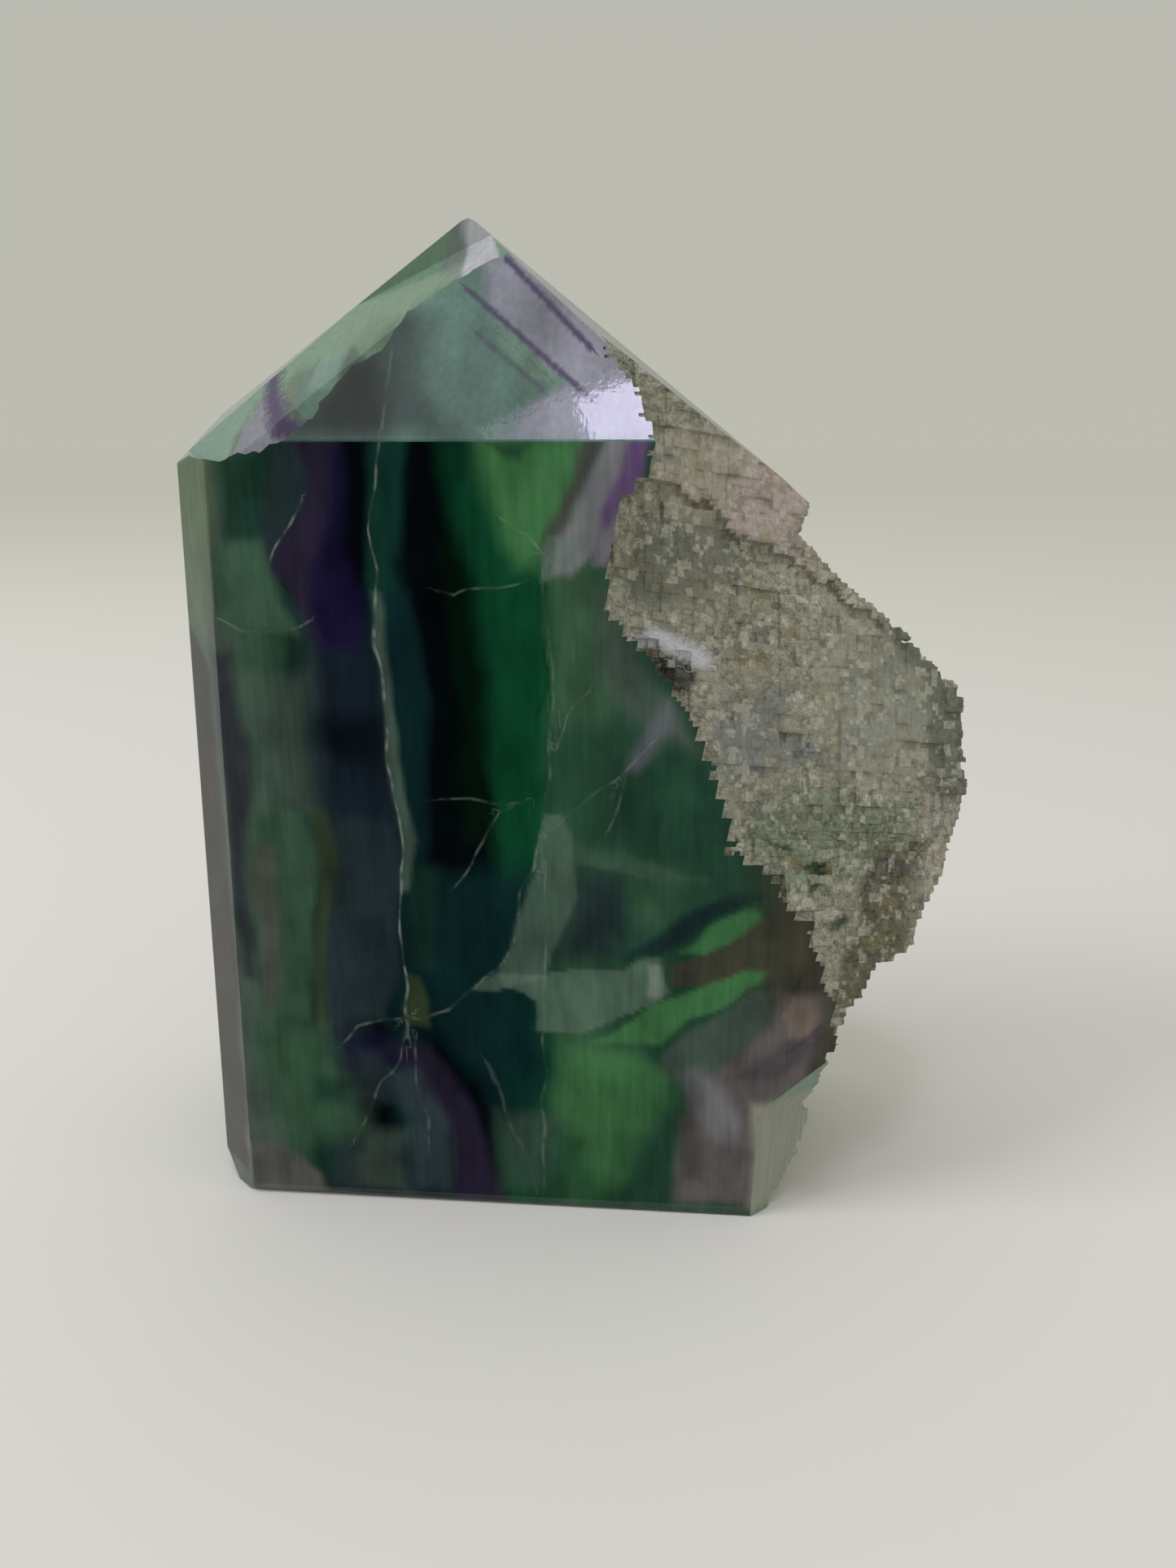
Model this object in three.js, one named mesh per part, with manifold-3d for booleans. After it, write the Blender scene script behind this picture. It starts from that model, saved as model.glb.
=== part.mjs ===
// Fluorite slab: a free-standing, freeform cut piece of banded fluorite.
// Most of it is sawn and polished: a flat front and back, a left end, chamfered
// corners and a low pointed top. Its right side is the natural outside of the
// crystal, a face of small cubic steps that runs back to a stepped rim.
// Millimetres, +Z up, front face towards -Y, resting on its sawn base.
//
// Polished faces are given from the front face's lower left corner: x to the
// right along the base, y back through the thickness, z up. The natural side is
// given in the crystal's own directions: across its face, up it, and out of it.

import * as THREE from "three";
import { mergeVertices } from "three/addons/utils/BufferGeometryUtils.js";
import Module from "manifold-3d";

const wasm = await Module();
wasm.setup();

// ---- driving dimensions: the polished faces -----------------------------------

const THICKNESS = 44;
const MIDDLE = THICKNESS / 2;
const FRONT_TOP = 110.5; // height of the front face's straight top edge
const APEX = [33.1, MIDDLE, 140.2];
const LEFT_FOOT = -6.2; // left end at the base
const LEFT_LEAN = 0.0215; // how far the left end leans in for each mm of height
const CHAMFER = 5.5; // depth of the two upright chamfers on the left
const CHAMFER_LEAN = 0.018;
const BLANK = { left: -10, right: 122, top: 142 }; // sawn blank, larger than the piece

// A point on each slope of the top, as far forward as that slope reaches.
const LEFT_CREST = [-5.3, MIDDLE, 113.2];
const LEFT_SLOPE_FRONT = [6.3, 4, 114.5];
const RIGHT_CREST = [81.7, MIDDLE, 102.0];
const RIGHT_SLOPE_FRONT = [60.8, 10, 116.6];

const BASE_BEVEL = 1.0; // along the foot of the front and back, at the left
const BASE_BEVEL_TAPER = 0.009; // how much narrower it gets for each mm to the right
const CORNER_BEVEL = { across: 2.6, up: 4.4 }; // at the foot of the left end

// The two smooth breaks at the foot of the front face, on the right, each as a
// point on it and its outward direction.
const LOWER_BREAK = [[75.3, 0, 0], [1, -1.1, -0.05]];
const UPPER_BREAK = [[76.2, 0, 17.8], [0.485, -0.7, -0.524]];

// ---- driving dimensions: the broken facet on the left of the top ---------------

// The broken edge where the front facet stops, in the front view, from the top
// down to the front face and round outside the slab.
const BROKEN_EDGE = [
  [39.5, 138], [37, 133], [32, 131], [26, 126], [21, 122.5], [19, 119], [16, 114],
  [11, 110.5], [6, 108], [2, 106], [-12, 104], [-12, 150], [39.5, 150],
];
const EDGE_FLARE = [0.35, -0.3]; // the broken edge slopes out to the right and down
const EDGE_DEPTH = 6; // depth at which the broken edge is measured
const EDGE_REACH = 12; // how far in front of and behind that depth it is cut

// Three points on each of the facets left of the broken edge.
const RIDGE_POINT = [31.1, 15.6, 130.5];
const LOW_FACET = [[2.0, 0, 105.3], [12.2, 0, 110.0], RIDGE_POINT];
const HIGH_FACET = [[33.0, MIDDLE, 140.1], RIDGE_POINT, [19.5, 8.8, 120.3]];
const APEX_FACET = [[33.1, MIDDLE, 140.1], RIDGE_POINT, [38.6, 17.7, 134.3]];

// ---- driving dimensions: the natural side -------------------------------------

// It is a single crystal: all its steps follow these directions.
const FACE_TILT = 33; // degrees from the front face, about the upright
const FACE_RAKE = 17; // degrees that the face leans back
const FACE_TURN = 10; // degrees that its steps are turned in their own plane
const FACE_REACH = 52.8; // distance of the natural face from the corner, along its normal

const STEP = 0.6; // height of one growth step
const BLOCK = 10; // the largest blocks of the mosaic
const SMALLEST = 2.5; // the smallest blocks
const SPLIT_CHANCE = [0.94, 0.76]; // how often a block of each size is broken up
const BLOCK_RELIEF = 1.8; // how far whole blocks vary, in and out
const PIECE_RELIEF = 1.4; // how far the small pieces vary
const OVERCUT = 0.08; // how far each cut runs past its block, so that cuts overlap
const FACE_SEEDS = { blocks: 11, heights: 22 };
const SIDE_SEEDS = { blocks: 12, heights: 42 };
const LEVEL_SHIFT = [7, -5]; // keeps each size of block from repeating the last one's pattern

// Where the natural face ends on the left, against the polished faces, and where
// its rim is on the right: [distance up the face, distance across it].
const POLISH_EDGE = [
  [-10, 70], [29, 68], [39, 64], [47, 58], [54, 51], [65, 46], [77, 37], [82, 32],
  [90, 29], [95, 32], [110, 32], [119, 29], [125, 25], [140, 14],
];
const RIM = [
  [-10, 60], [1, 65], [6, 68], [13, 70], [25, 69], [29, 70], [37, 78], [40, 84],
  [48, 88], [55, 92], [64.5, 96.5], [67, 94], [70, 94], [72.5, 95.5], [78, 94],
  [87, 79], [93, 69], [98, 61], [104, 64], [112, 66],
];
const FACE_SPAN = { low: [10, -5], high: [104, 136] }; // across and up
const SIDE_SPAN = { low: [-60, -20], high: [40, 112] }; // out and up
const RIM_TOP = 108; // above this the sawn slope ends the face, not the rim
const RIM_SETBACK = 0.5;
const RIM_MARGIN = 1.5; // blocks this many widths past the rim are left to the side cuts
const RIM_DEPTH = 12; // behind the rim the blocks are small to this depth
const FOOT_TOP = 60; // below this the side behind the rim flares back to a wider foot
const FOOT_FLARE = 0.58;
const FLARE_LIMIT = 0.5;
const CLEAR_OUT = 70; // past the blank, out of the face and across it
const CLEAR_ACROSS = 150;

// The upper block of the natural face stands out over a ledge, which falls away
// to the right. Low on the face the surface comes forward again.
const LEDGE = { across: 36, up: 103.8, fall: 0.39, stand: 0.4, drop: 1.3, lowReturn: 0.9 };

// A flatter plate near the rim, and a small pit near the polished edge.
const PLATE = { from: 72, low: 55, high: 88, rise: 1.6, fall: 0.06 };
const PIT = { across: 38.2, up: 77.5, radius: 3.6, depth: 2.6 };

// ---- solids -------------------------------------------------------------------

/** Turns a closed three.js geometry into a solid that can be joined and cut. */
function solidOf(geometry) {
  const bare = geometry.clone();
  bare.deleteAttribute("normal");
  bare.deleteAttribute("uv");
  const merged = mergeVertices(bare, 1e-5);
  const mesh = new wasm.Mesh({
    numProp: 3,
    vertProperties: new Float32Array(merged.attributes.position.array),
    triVerts: new Uint32Array(merged.index.array),
  });
  return new wasm.Manifold(mesh);
}

/** Turns a solid back into a three.js geometry. */
function geometryOf(solid) {
  const mesh = solid.getMesh();
  const geometry = new THREE.BufferGeometry();
  geometry.setAttribute("position", new THREE.BufferAttribute(mesh.vertProperties, 3));
  geometry.setIndex(new THREE.BufferAttribute(mesh.triVerts, 1));
  geometry.computeVertexNormals();
  return geometry;
}

/** A box between two corners, in whatever frame the caller works in. */
function block(low, high) {
  const size = high.map((value, axis) => value - low[axis]);
  const geometry = new THREE.BoxGeometry(...size);
  geometry.translate(...low.map((value, axis) => value + size[axis] / 2));
  return solidOf(geometry);
}

/** Everything on the outer side of a plane, as a very large box. */
function beyond(point, outward) {
  const reach = 400;
  const geometry = new THREE.BoxGeometry(reach, reach, reach);
  geometry.translate(0, 0, reach / 2);
  const turn = new THREE.Quaternion();
  turn.setFromUnitVectors(new THREE.Vector3(0, 0, 1), new THREE.Vector3(...outward).normalize());
  geometry.applyQuaternion(turn);
  geometry.translate(...point);
  return solidOf(geometry);
}

/** The upward normal of the plane through three points. */
function upwardNormal(a, b, c) {
  const origin = new THREE.Vector3(...a);
  const along = new THREE.Vector3(...b).sub(origin);
  const across = new THREE.Vector3(...c).sub(origin);
  const normal = along.cross(across).normalize();
  return normal.z < 0 ? normal.negate().toArray() : normal.toArray();
}

/** A plane through a point, mirrored to the other side of the middle of the slab. */
function mirrored([[x, y, z], [nx, ny, nz]]) {
  return [[x, THICKNESS - y, z], [nx, -ny, nz]];
}

/** Cuts a solid by planes given as [point, outward direction]. */
function trim(solid, planes) {
  return planes.reduce((rest, [point, outward]) => rest.subtract(beyond(point, outward)), solid);
}

/** A front view outline, carried straight back from one depth to another. */
function carriedBack(points, from, to) {
  const shape = new THREE.Shape(points.map(([x, z]) => new THREE.Vector2(x, z)));
  const geometry = new THREE.ExtrudeGeometry(shape, { depth: to - from, bevelEnabled: false });
  geometry.rotateX(Math.PI / 2);
  geometry.translate(0, to, 0);
  return geometry;
}

// ---- the sawn and polished faces ----------------------------------------------

/** The sawn blank with its end, chamfers, pointed top and bevelled foot. */
function polishedBody() {
  const { left, right, top } = BLANK;
  const blank = carriedBack([[left, 0], [right, 0], [right, top], [left, top]], 0, THICKNESS);
  const frontTop = [0, 0, FRONT_TOP];
  const end = [[LEFT_FOOT, 0, 0], [-1, 0, LEFT_LEAN]];
  const corner = [[LEFT_FOOT, 0, CORNER_BEVEL.up], [-CORNER_BEVEL.up, 0, -CORNER_BEVEL.across]];
  const paired = [
    [[0, 0, 0], [-CHAMFER, LEFT_FOOT, CHAMFER_LEAN * CHAMFER]],
    [frontTop, upwardNormal(frontTop, [right, 0, FRONT_TOP], [right, MIDDLE, APEX[2]])],
    [APEX, upwardNormal(APEX, LEFT_CREST, LEFT_SLOPE_FRONT)],
    [APEX, upwardNormal(APEX, RIGHT_CREST, RIGHT_SLOPE_FRONT)],
    [[0, 0, BASE_BEVEL], [-BASE_BEVEL_TAPER, -1, -1]],
  ];
  return trim(solidOf(blank), [end, corner, ...paired, ...paired.map(mirrored)]);
}

/** What is missing to the left of the broken edge of the front facet. */
function brokenFacet() {
  const geometry = carriedBack(BROKEN_EDGE, -EDGE_REACH, EDGE_REACH);
  const flare = new THREE.Matrix4().set(
    1, -EDGE_FLARE[0], 0, 0,
    0, 1, 0, EDGE_DEPTH,
    0, -EDGE_FLARE[1], 1, 0,
    0, 0, 0, 1,
  );
  geometry.applyMatrix4(flare);
  const facets = [LOW_FACET, HIGH_FACET, APEX_FACET];
  const outside = facets.map((points) => beyond(points[0], upwardNormal(...points)));
  return solidOf(geometry).intersect(wasm.Manifold.union(outside));
}

/** What is missing at the foot of the front face, on the right. */
function brokenFoot() {
  return beyond(...LOWER_BREAK).intersect(beyond(...UPPER_BREAK));
}

// ---- the natural side ---------------------------------------------------------

/** Carries the crystal's directions (across, up, out) to the slab's own. */
function crystalFrame() {
  const tilt = THREE.MathUtils.degToRad(FACE_TILT);
  const rake = THREE.MathUtils.degToRad(FACE_RAKE);
  const turn = THREE.MathUtils.degToRad(FACE_TURN);
  const out = new THREE.Vector3(
    Math.sin(tilt) * Math.cos(rake),
    -Math.cos(tilt) * Math.cos(rake),
    Math.sin(rake),
  );
  const across = new THREE.Vector3(Math.cos(tilt), Math.sin(tilt), 0).applyAxisAngle(out, -turn);
  const up = out.clone().cross(across);
  const frame = new THREE.Matrix4().makeBasis(across, up, out);
  return frame.multiply(new THREE.Matrix4().makeTranslation(0, 0, FACE_REACH));
}

/** A fixed pseudo-random number from 0 to 1 for a cell. */
function chance(i, j, k) {
  let bits = Math.imul(i, 374761393) ^ Math.imul(j, 668265263) ^ Math.imul(k, 1274126177);
  bits = Math.imul(bits ^ (bits >>> 13), 1274126177);
  return ((bits ^ (bits >>> 16)) >>> 0) / 4294967296;
}

/** Reads a line of [position, value] points at a position between them. */
function along(line, position) {
  const last = line.length - 1;
  if (position <= line[0][0]) return line[0][1];
  if (position >= line[last][0]) return line[last][1];
  const next = line.findIndex(([at]) => at > position);
  const [low, lowValue] = line[next - 1];
  const [high, highValue] = line[next];
  return lowValue + ((highValue - lowValue) * (position - low)) / (high - low);
}

/** Large forms of the natural face: how far out it stands at a place on it. */
function faceForm(across, up) {
  const upper = up > LEDGE.up - LEDGE.fall * (across - LEDGE.across);
  let form = upper ? LEDGE.stand : LEDGE.stand - LEDGE.drop;
  if (!upper && up < PLATE.low) form += LEDGE.lowReturn;
  if (across > PLATE.from && up > PLATE.low && up < PLATE.high) {
    form += PLATE.rise - PLATE.fall * (across - PLATE.from);
  }
  const fromPit = Math.hypot(across - PIT.across, up - PIT.up) / PIT.radius;
  if (fromPit < 1) form -= PIT.depth * (1 - fromPit * fromPit);
  return form;
}

/** Large forms of the side behind the rim: how far across it reaches. */
function sideForm(out, up) {
  const low = THREE.MathUtils.clamp((FOOT_TOP - up) / FOOT_TOP, 0, FLARE_LIMIT);
  return along(RIM, up) - RIM_SETBACK + FOOT_FLARE * low * Math.max(0, -out);
}

/** Breaks a field into square blocks of uneven size and hands each to visit. */
function mosaic({ low, high }, seed, mustSplit, visit) {
  const split = (i, j, x, y, side, level) => {
    const pick = chance(i + LEVEL_SHIFT[0] * level, j + LEVEL_SHIFT[1] * level, seed);
    const isWhole = pick > SPLIT_CHANCE[level] && !mustSplit(x, y, side);
    if (side / 2 < SMALLEST || isWhole) {
      visit(x, y, side, i, j);
      return;
    }
    const half = side / 2;
    for (const [di, dj] of [[0, 0], [1, 0], [0, 1], [1, 1]]) {
      split(2 * i + di, 2 * j + dj, x + di * half, y + dj * half, half, level + 1);
    }
  };
  for (let i = Math.floor(low[0] / BLOCK); i * BLOCK < high[0]; i += 1) {
    for (let j = Math.floor(low[1] / BLOCK); j * BLOCK < high[1]; j += 1) {
      split(i, j, i * BLOCK, j * BLOCK, BLOCK, 0);
    }
  }
}

/** The height of one piece, in whole growth steps, from the large form under it. */
function stepped(form, x, y, i, j, seed) {
  const whole = chance(Math.floor(x / BLOCK), Math.floor(y / BLOCK), seed) - 0.5;
  const piece = chance(i, j, seed + 1) - 0.5;
  return STEP * Math.round((form + BLOCK_RELIEF * whole + PIECE_RELIEF * piece) / STEP);
}

/** Whether a block lies across a line of [up, across] points. */
function crosses(line, x, y, side) {
  const margins = [y, y + side / 2, y + side].flatMap((up) => {
    const edge = along(line, up);
    return [x - edge, x + side - edge];
  });
  return Math.min(...margins) < 0 && Math.max(...margins) > 0;
}

/** What is missing in front of the natural face. */
function inFrontOfFace() {
  const cuts = [];
  const atAnEdge = (x, y, side) => crosses(POLISH_EDGE, x, y, side) || crosses(RIM, x, y, side);
  mosaic(FACE_SPAN, FACE_SEEDS.blocks, atAnEdge, (x, y, side, i, j) => {
    const [across, up] = [x + side / 2, y + side / 2];
    const isPolished = across < along(POLISH_EDGE, up);
    const isPastRim = across > along(RIM, up) + RIM_MARGIN * side && up < RIM_TOP;
    if (isPolished || isPastRim) return;
    const out = stepped(faceForm(across, up), x, y, i, j, FACE_SEEDS.heights);
    const high = [x + side + OVERCUT, y + side + OVERCUT, CLEAR_OUT];
    cuts.push(block([x - OVERCUT, y - OVERCUT, out], high));
  });
  return wasm.Manifold.union(cuts);
}

/** What is missing to the right of the rim. */
function pastTheRim() {
  const cuts = [];
  const nearTheRim = (x) => x > -RIM_DEPTH;
  mosaic(SIDE_SPAN, SIDE_SEEDS.blocks, nearTheRim, (x, y, side, i, j) => {
    const isInTheOpen = x > STEP && y > PLATE.low;
    if (isInTheOpen) return;
    const form = sideForm(x + side / 2, y + side / 2);
    const across = stepped(form, x, y, i, j, SIDE_SEEDS.heights);
    const high = [CLEAR_ACROSS, y + side + OVERCUT, x + side + OVERCUT];
    cuts.push(block([across, y - OVERCUT, x - OVERCUT], high));
  });
  return wasm.Manifold.union(cuts);
}

// ---- the finished piece -------------------------------------------------------

/** The one solid, without the loose crumbs that the cuts leave beside it. */
function slab() {
  const natural = inFrontOfFace().add(pastTheRim()).transform(crystalFrame().toArray());
  const sawn = polishedBody().subtract(brokenFacet()).subtract(brokenFoot());
  const pieces = sawn.subtract(natural).decompose();
  return pieces.reduce((best, piece) => (piece.volume() > best.volume() ? piece : best));
}

const geometry = geometryOf(slab());
geometry.computeBoundingBox();
const { min, max } = geometry.boundingBox;
geometry.translate(-(min.x + max.x) / 2, -(min.y + max.y) / 2, -min.z);

const fluorite = new THREE.MeshStandardMaterial({ color: 0x2f5a4b, roughness: 0.15, metalness: 0 });
const mesh = new THREE.Mesh(geometry, fluorite);
mesh.name = "fluorite_slab";

const group = new THREE.Group();
group.add(mesh);

export default group;
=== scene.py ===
"""Fluorite slab: a free-standing freeform of banded fluorite, polished to a low point.

The crystal is built in millimetres from the front face's lower left corner: x to
the right along the base, y back through the thickness, z up. Its natural side is
built in the crystal's own directions and turned into place before it is cut.
"""

import math

import bmesh
import bpy
from bmesh.types import BMEdge, BMFace, BMVert
from mathutils import Matrix, Vector, geometry, noise


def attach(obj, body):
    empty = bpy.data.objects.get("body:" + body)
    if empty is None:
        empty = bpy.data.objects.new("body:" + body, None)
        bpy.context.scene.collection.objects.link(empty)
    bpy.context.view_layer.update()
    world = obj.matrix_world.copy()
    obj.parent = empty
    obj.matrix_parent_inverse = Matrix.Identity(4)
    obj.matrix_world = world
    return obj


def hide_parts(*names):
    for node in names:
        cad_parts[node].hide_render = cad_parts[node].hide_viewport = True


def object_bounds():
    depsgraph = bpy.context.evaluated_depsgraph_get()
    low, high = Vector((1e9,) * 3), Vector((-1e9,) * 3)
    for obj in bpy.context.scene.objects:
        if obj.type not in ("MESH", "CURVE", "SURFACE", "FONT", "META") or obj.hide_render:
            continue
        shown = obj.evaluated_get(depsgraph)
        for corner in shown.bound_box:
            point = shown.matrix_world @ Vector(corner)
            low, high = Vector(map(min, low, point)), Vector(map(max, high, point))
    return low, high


bl_info = {
    "name": "Fluorite Slab",
    "version": (1, 0, 0),
    "blender": (4, 5, 0),
    "location": "3D View > Sidebar > Fluorite",
    "description": "Builds a banded fluorite slab with a polished front and a natural side",
    "category": "Object",
}

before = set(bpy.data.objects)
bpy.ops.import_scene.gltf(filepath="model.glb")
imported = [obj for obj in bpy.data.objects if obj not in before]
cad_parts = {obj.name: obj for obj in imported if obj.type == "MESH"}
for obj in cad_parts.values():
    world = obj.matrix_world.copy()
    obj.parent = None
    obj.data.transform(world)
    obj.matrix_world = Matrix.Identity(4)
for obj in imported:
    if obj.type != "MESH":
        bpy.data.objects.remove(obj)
CAD_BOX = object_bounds()

# ---- sizes of the sawn and polished crystal, in mm ----------------------------

THICKNESS = 44.0
MIDDLE = THICKNESS / 2
FRONT_TOP = 110.5 # height of the front face
APEX = (33.1, MIDDLE, 140.2)
LEFT_FOOT = -6.2 # where the left end stands
LEFT_LEAN = 0.0215 # how far it leans in, per mm of height
CHAMFER = 5.5 # how far back the upright chamfers reach
CHAMFER_LEAN = 0.018
# The block that everything is cut from.
BLANK_LOW = (-10.0, 0.0, 0.0)
BLANK_HIGH = (122.0, THICKNESS, 142.0)
# Two more points of each slope of the top, beside the apex.
LEFT_CREST = (-5.3, MIDDLE, 113.2)
LEFT_SLOPE_FRONT = (6.3, 4.0, 114.5)
RIGHT_CREST = (81.7, MIDDLE, 102.0)
RIGHT_SLOPE_FRONT = (60.8, 10.0, 116.6)
BASE_BEVEL = 1.0
BASE_BEVEL_TAPER = 0.009 # it gets smaller to the right
CORNER_BEVEL = (2.6, 4.4) # width and height at the foot of the left end
# The breaks at the foot, each a point and the direction it faces.
LOWER_BREAK = ((75.3, 0.0, 0.0), (1.0, -1.1, -0.05))
UPPER_BREAK = ((76.2, 0.0, 17.8), (0.485, -0.7, -0.524))

# The corner of the front face in the shared frame: the box's left side is the
# left end where its foot bevel starts.
CORNER = Vector((
    CAD_BOX[0][0] - (LEFT_FOOT + LEFT_LEAN * CORNER_BEVEL[1]) * 0.001,
    CAD_BOX[0][1],
    CAD_BOX[0][2],
))
INTO_FRAME = Matrix.Translation(CORNER) @ Matrix.Scale(0.001, 4)

# The ragged edge of the front facet, in the front view, and the facets beside it.
BROKEN_EDGE = [
    (42, 140), (38.5, 134.5), (35.5, 133), (32, 131), (29.5, 129), (26.5, 127), (23.5, 122),
    (20, 120), (16.5, 115.5), (16, 113.5), (13.5, 111.5), (10, 109.5), (6.5, 109), (4, 108),
    (0, 108.5), (-5, 110), (-12, 111),
]
BROKEN_OUTSIDE = [(-12, 150), (42, 150)]
EDGE_DEPTH = 6.0 # middle of that cut, behind the front face
EDGE_REACH = 16.0 # and how far it goes to each side of that
EDGE_PARTS = 4 # short stretches in each long one
EDGE_WAVE = 0.9 # waves per mm
EDGE_WANDER = 0.5
RIDGE_POINT = (31.1, 15.6, 130.5)
LOW_FACET = ((2.0, 0, 105.3), (12.2, 0, 110.0), RIDGE_POINT)
HIGH_FACET = ((33.0, MIDDLE, 140.1), RIDGE_POINT, (19.5, 8.8, 120.3))
APEX_FACET = ((33.1, MIDDLE, 140.1), RIDGE_POINT, (38.6, 17.7, 134.3))

# ---- sizes of the natural side, in mm -----------------------------------------

FACE_TILT = 33 # degrees from the front
FACE_RAKE = 17 # degrees that it leans back
FACE_TURN = 10 # degrees that its steps are turned
FACE_REACH = 52.8 # its distance from the front face's corner
BLOCK = 10.0 # largest step
SPLIT_CHANCE = (0.98, 0.93, 0.85, 0.5) # how often a block of each size breaks into four
CELL = BLOCK / 2 ** len(SPLIT_CHANCE)
FORM_BLOCK = 2.5 # no block larger than this bridges a ledge
GROOVE = 0.1 # width of the step between two cells
JITTER, JITTER_WAVE = 0.16, 0.8 # waver of the steps, in cells, and its waves per mm
EDGE_BLOCK = 2.5 # largest block broken off along the polished face
EDGE_SPLIT = 0.6 # how often such a block breaks into four
EDGE_LOOSE = 1.2 # how far single blocks stand off that edge, in their own widths
EDGE_SEEDS = (55, 66)
# The edge of the polished face and the rim, by height: how far across the face they are.
POLISH_EDGE = [
    (-10, 70), (29, 68), (39, 64), (47, 58), (54, 51), (65, 46), (77, 37), (82, 32),
    (90, 29), (95, 32), (110, 32), (119, 29), (125, 25), (140, 14),
]
RIM = [
    (-10, 60), (1, 65), (6, 68), (13, 70), (25, 69), (29, 70), (37, 78), (40, 84),
    (48, 88), (55, 92), (64.5, 96.5), (67, 94), (70, 94), (72.5, 95.5), (78, 94),
    (87, 79), (93, 69), (98, 61), (104, 64), (112, 66),
]
FACE_LOW, FACE_HIGH = (10, -10), (110, 140) # across and up
SIDE_LOW, SIDE_HIGH = (-60, -20), (40, 110) # out and up
RIM_SETBACK = 0.5 # how far inside the rim the side begins
RIM_MARGIN = 1.5 * CELL # past it, nothing of the blank stays
RIM_TOP = 108 # above it, the blank stays
RIM_FRONT = 0.6 # further out, the side's own steps leave the face alone
FOOT_TOP = 60 # below it, the side flares toward the back
FOOT_FLARE = 0.58
FLARE_LIMIT = 0.5
# The ledge under the upper block, the flatter plate near the rim, and the pit.
LEDGE = {"across": 36, "up": 103.8, "fall": 0.39, "stand": 0.4, "drop": 1.3, "low_return": 0.9}
PLATE = {"from": 72, "low": 55, "high": 88, "rise": 1.6, "fall": 0.06, "soft": 2}
PIT = {"across": 38.2, "up": 77.5, "radius": 3.6, "depth": 2.6}
FACE_SEEDS = (11, 22)
SIDE_SEEDS = (12, 42)
RELIEF = (0.9, 0.5, 0.45, 0.3, 0.15) # how far blocks of each size vary, in and out
RELIEF_SEEDS = (0, 3, 1, 2, 4)
CELL_STEP = 0.1 # heights are whole steps of this
CELL_TILT = 0.1 # range of the slopes of single steps
TILT_SEEDS = (71, 72)
# Slow drifts: how large each is, and how far it reaches.
FORM_DRIFT = (7, 1.6)
SWELL = (14, 0.7)
EDGE_DRIFT = (3.5, 1.4)
RIM_DRIFT = (5, 0.9)
RIM_OVERHANG = 0.3 # furthest that its drift carries the rim outward
CLEAR = 160.0 # past the blank on every side
WEATHERINGS = 1 # how often the smallest steps are rounded
CRUMB_SIZE, CRUMB_REACH = 0.5, 0.09
FRONT_NET, BACK_NET = 0.75, 2.2 # meshes of the net that carries the colouring
NOISE_SEED = 5 # without it, the noise starts from the clock

# ---- the surfaces -------------------------------------------------------------

POLISHED, NATURAL, BROKEN = range(3)
SURFACES = ("polished", "natural", "broken")

# How the markings wander: the size of each drift and how far it reaches, in mm.
TONE_DRIFT = ((9.0, 1.2), (3.0, 0.5))
STONE_DRIFT = ((7.0, 1.6), (2.0, 0.9))
DRIFT_STRETCH, DRIFT_RISE = 1.5, 0.6 # drifts are longer and weaker upward

# How softly marks end, how far a vein is looked for, and what each surface is like.
SPREAD = 1.6
VEIN_REACH = 2.2
VEIN_SHOW = 0.5
VEIN_PATCH = (1.6, 2.2) # width and height of the gaps in a thin vein
THIN_VEIN = 0.7
CLOUD_SIZE, CLOUD_DEPTH = (5, 9), 0.35
OCHRE_SIZE, OCHRE_DEPTH = 3, 0.45
END_TONE = ("sage", 0.6) # laid over the left end
STEEP_TONE = ("khaki", 0.35) # laid over the steep sides of the steps
EDGE_TONE, EDGE_PALE = ("cream", 0.25), 5 # laid over the stone beside the polish, in mm
STEEP = (0.3, 0.8) # how far out the steepest and the level sides look
TOP_UP, END_LEFT = 0.3, 0.95 # how far up a face of the top looks, and how far left the end
TONE_PATCH = 5 # size of the patches with more cells of their own tone
# Cells of the natural face with a tone of their own: size, colour, how often, strength.
CELL_TONES = (
    (2.5, "shade", 0.25, 0.35), (1.25, "shade", 0.22, 0.35), (1.25, "cream", 0.18, 0.4),
    (0.625, "cream", 0.1, 0.35),
)
NO_VEIN = (9.0, (0.0, 0.0, 0.0, 0.0))
GLOSS = {"body": 0.02, "top": 0.02, "stone": 0.55, "break": 0.18} # roughness
THROUGH = {"body": 0.12, "top": 0.25, "stone": 0.04, "break": 0.3} # share seen through

# The fluorite itself. Where there are two values, they are for polished and grown stone.
IOR = 1.434
ABSORPTION_COLOUR, ABSORPTION = (0.45, 0.8, 0.6, 1), 45.0 # faintly green, per metre
LINE_SCALE = (1400.0, 1400.0, 110.0) # growth lines 0.7 mm apart and 9 mm long
CRUMB_SCALE = (2600.0, 2600.0, 2600.0) # crumbs of 0.4 mm
GRAIN_SHADE = (0.5, 1.0)
GRAIN_GLOSS = 0.03
GRAIN_BUMP, BUMP_HEIGHT = (0.02, 1.0), 0.0003
CRYSTAL_SCALE, CRYSTAL_WAVER = 1000.0, 0.8 # little crystals 1 mm across
CRYSTAL_SHADE = (-0.22, 0.28) # the darkest and the palest of them
# Painted shade in the gaps between the little crystals: where it begins, where it is full, and how much
# it darkens.
GAP_START, GAP_END, GAP_SHADE = 0.45, 0.8, -0.35
CRYSTAL_BUMP = -0.9
VEIN_RAGGED, VEIN_END, VEIN_FULL = 1.6, 2.4, 1.1 # in half widths of the vein
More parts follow.
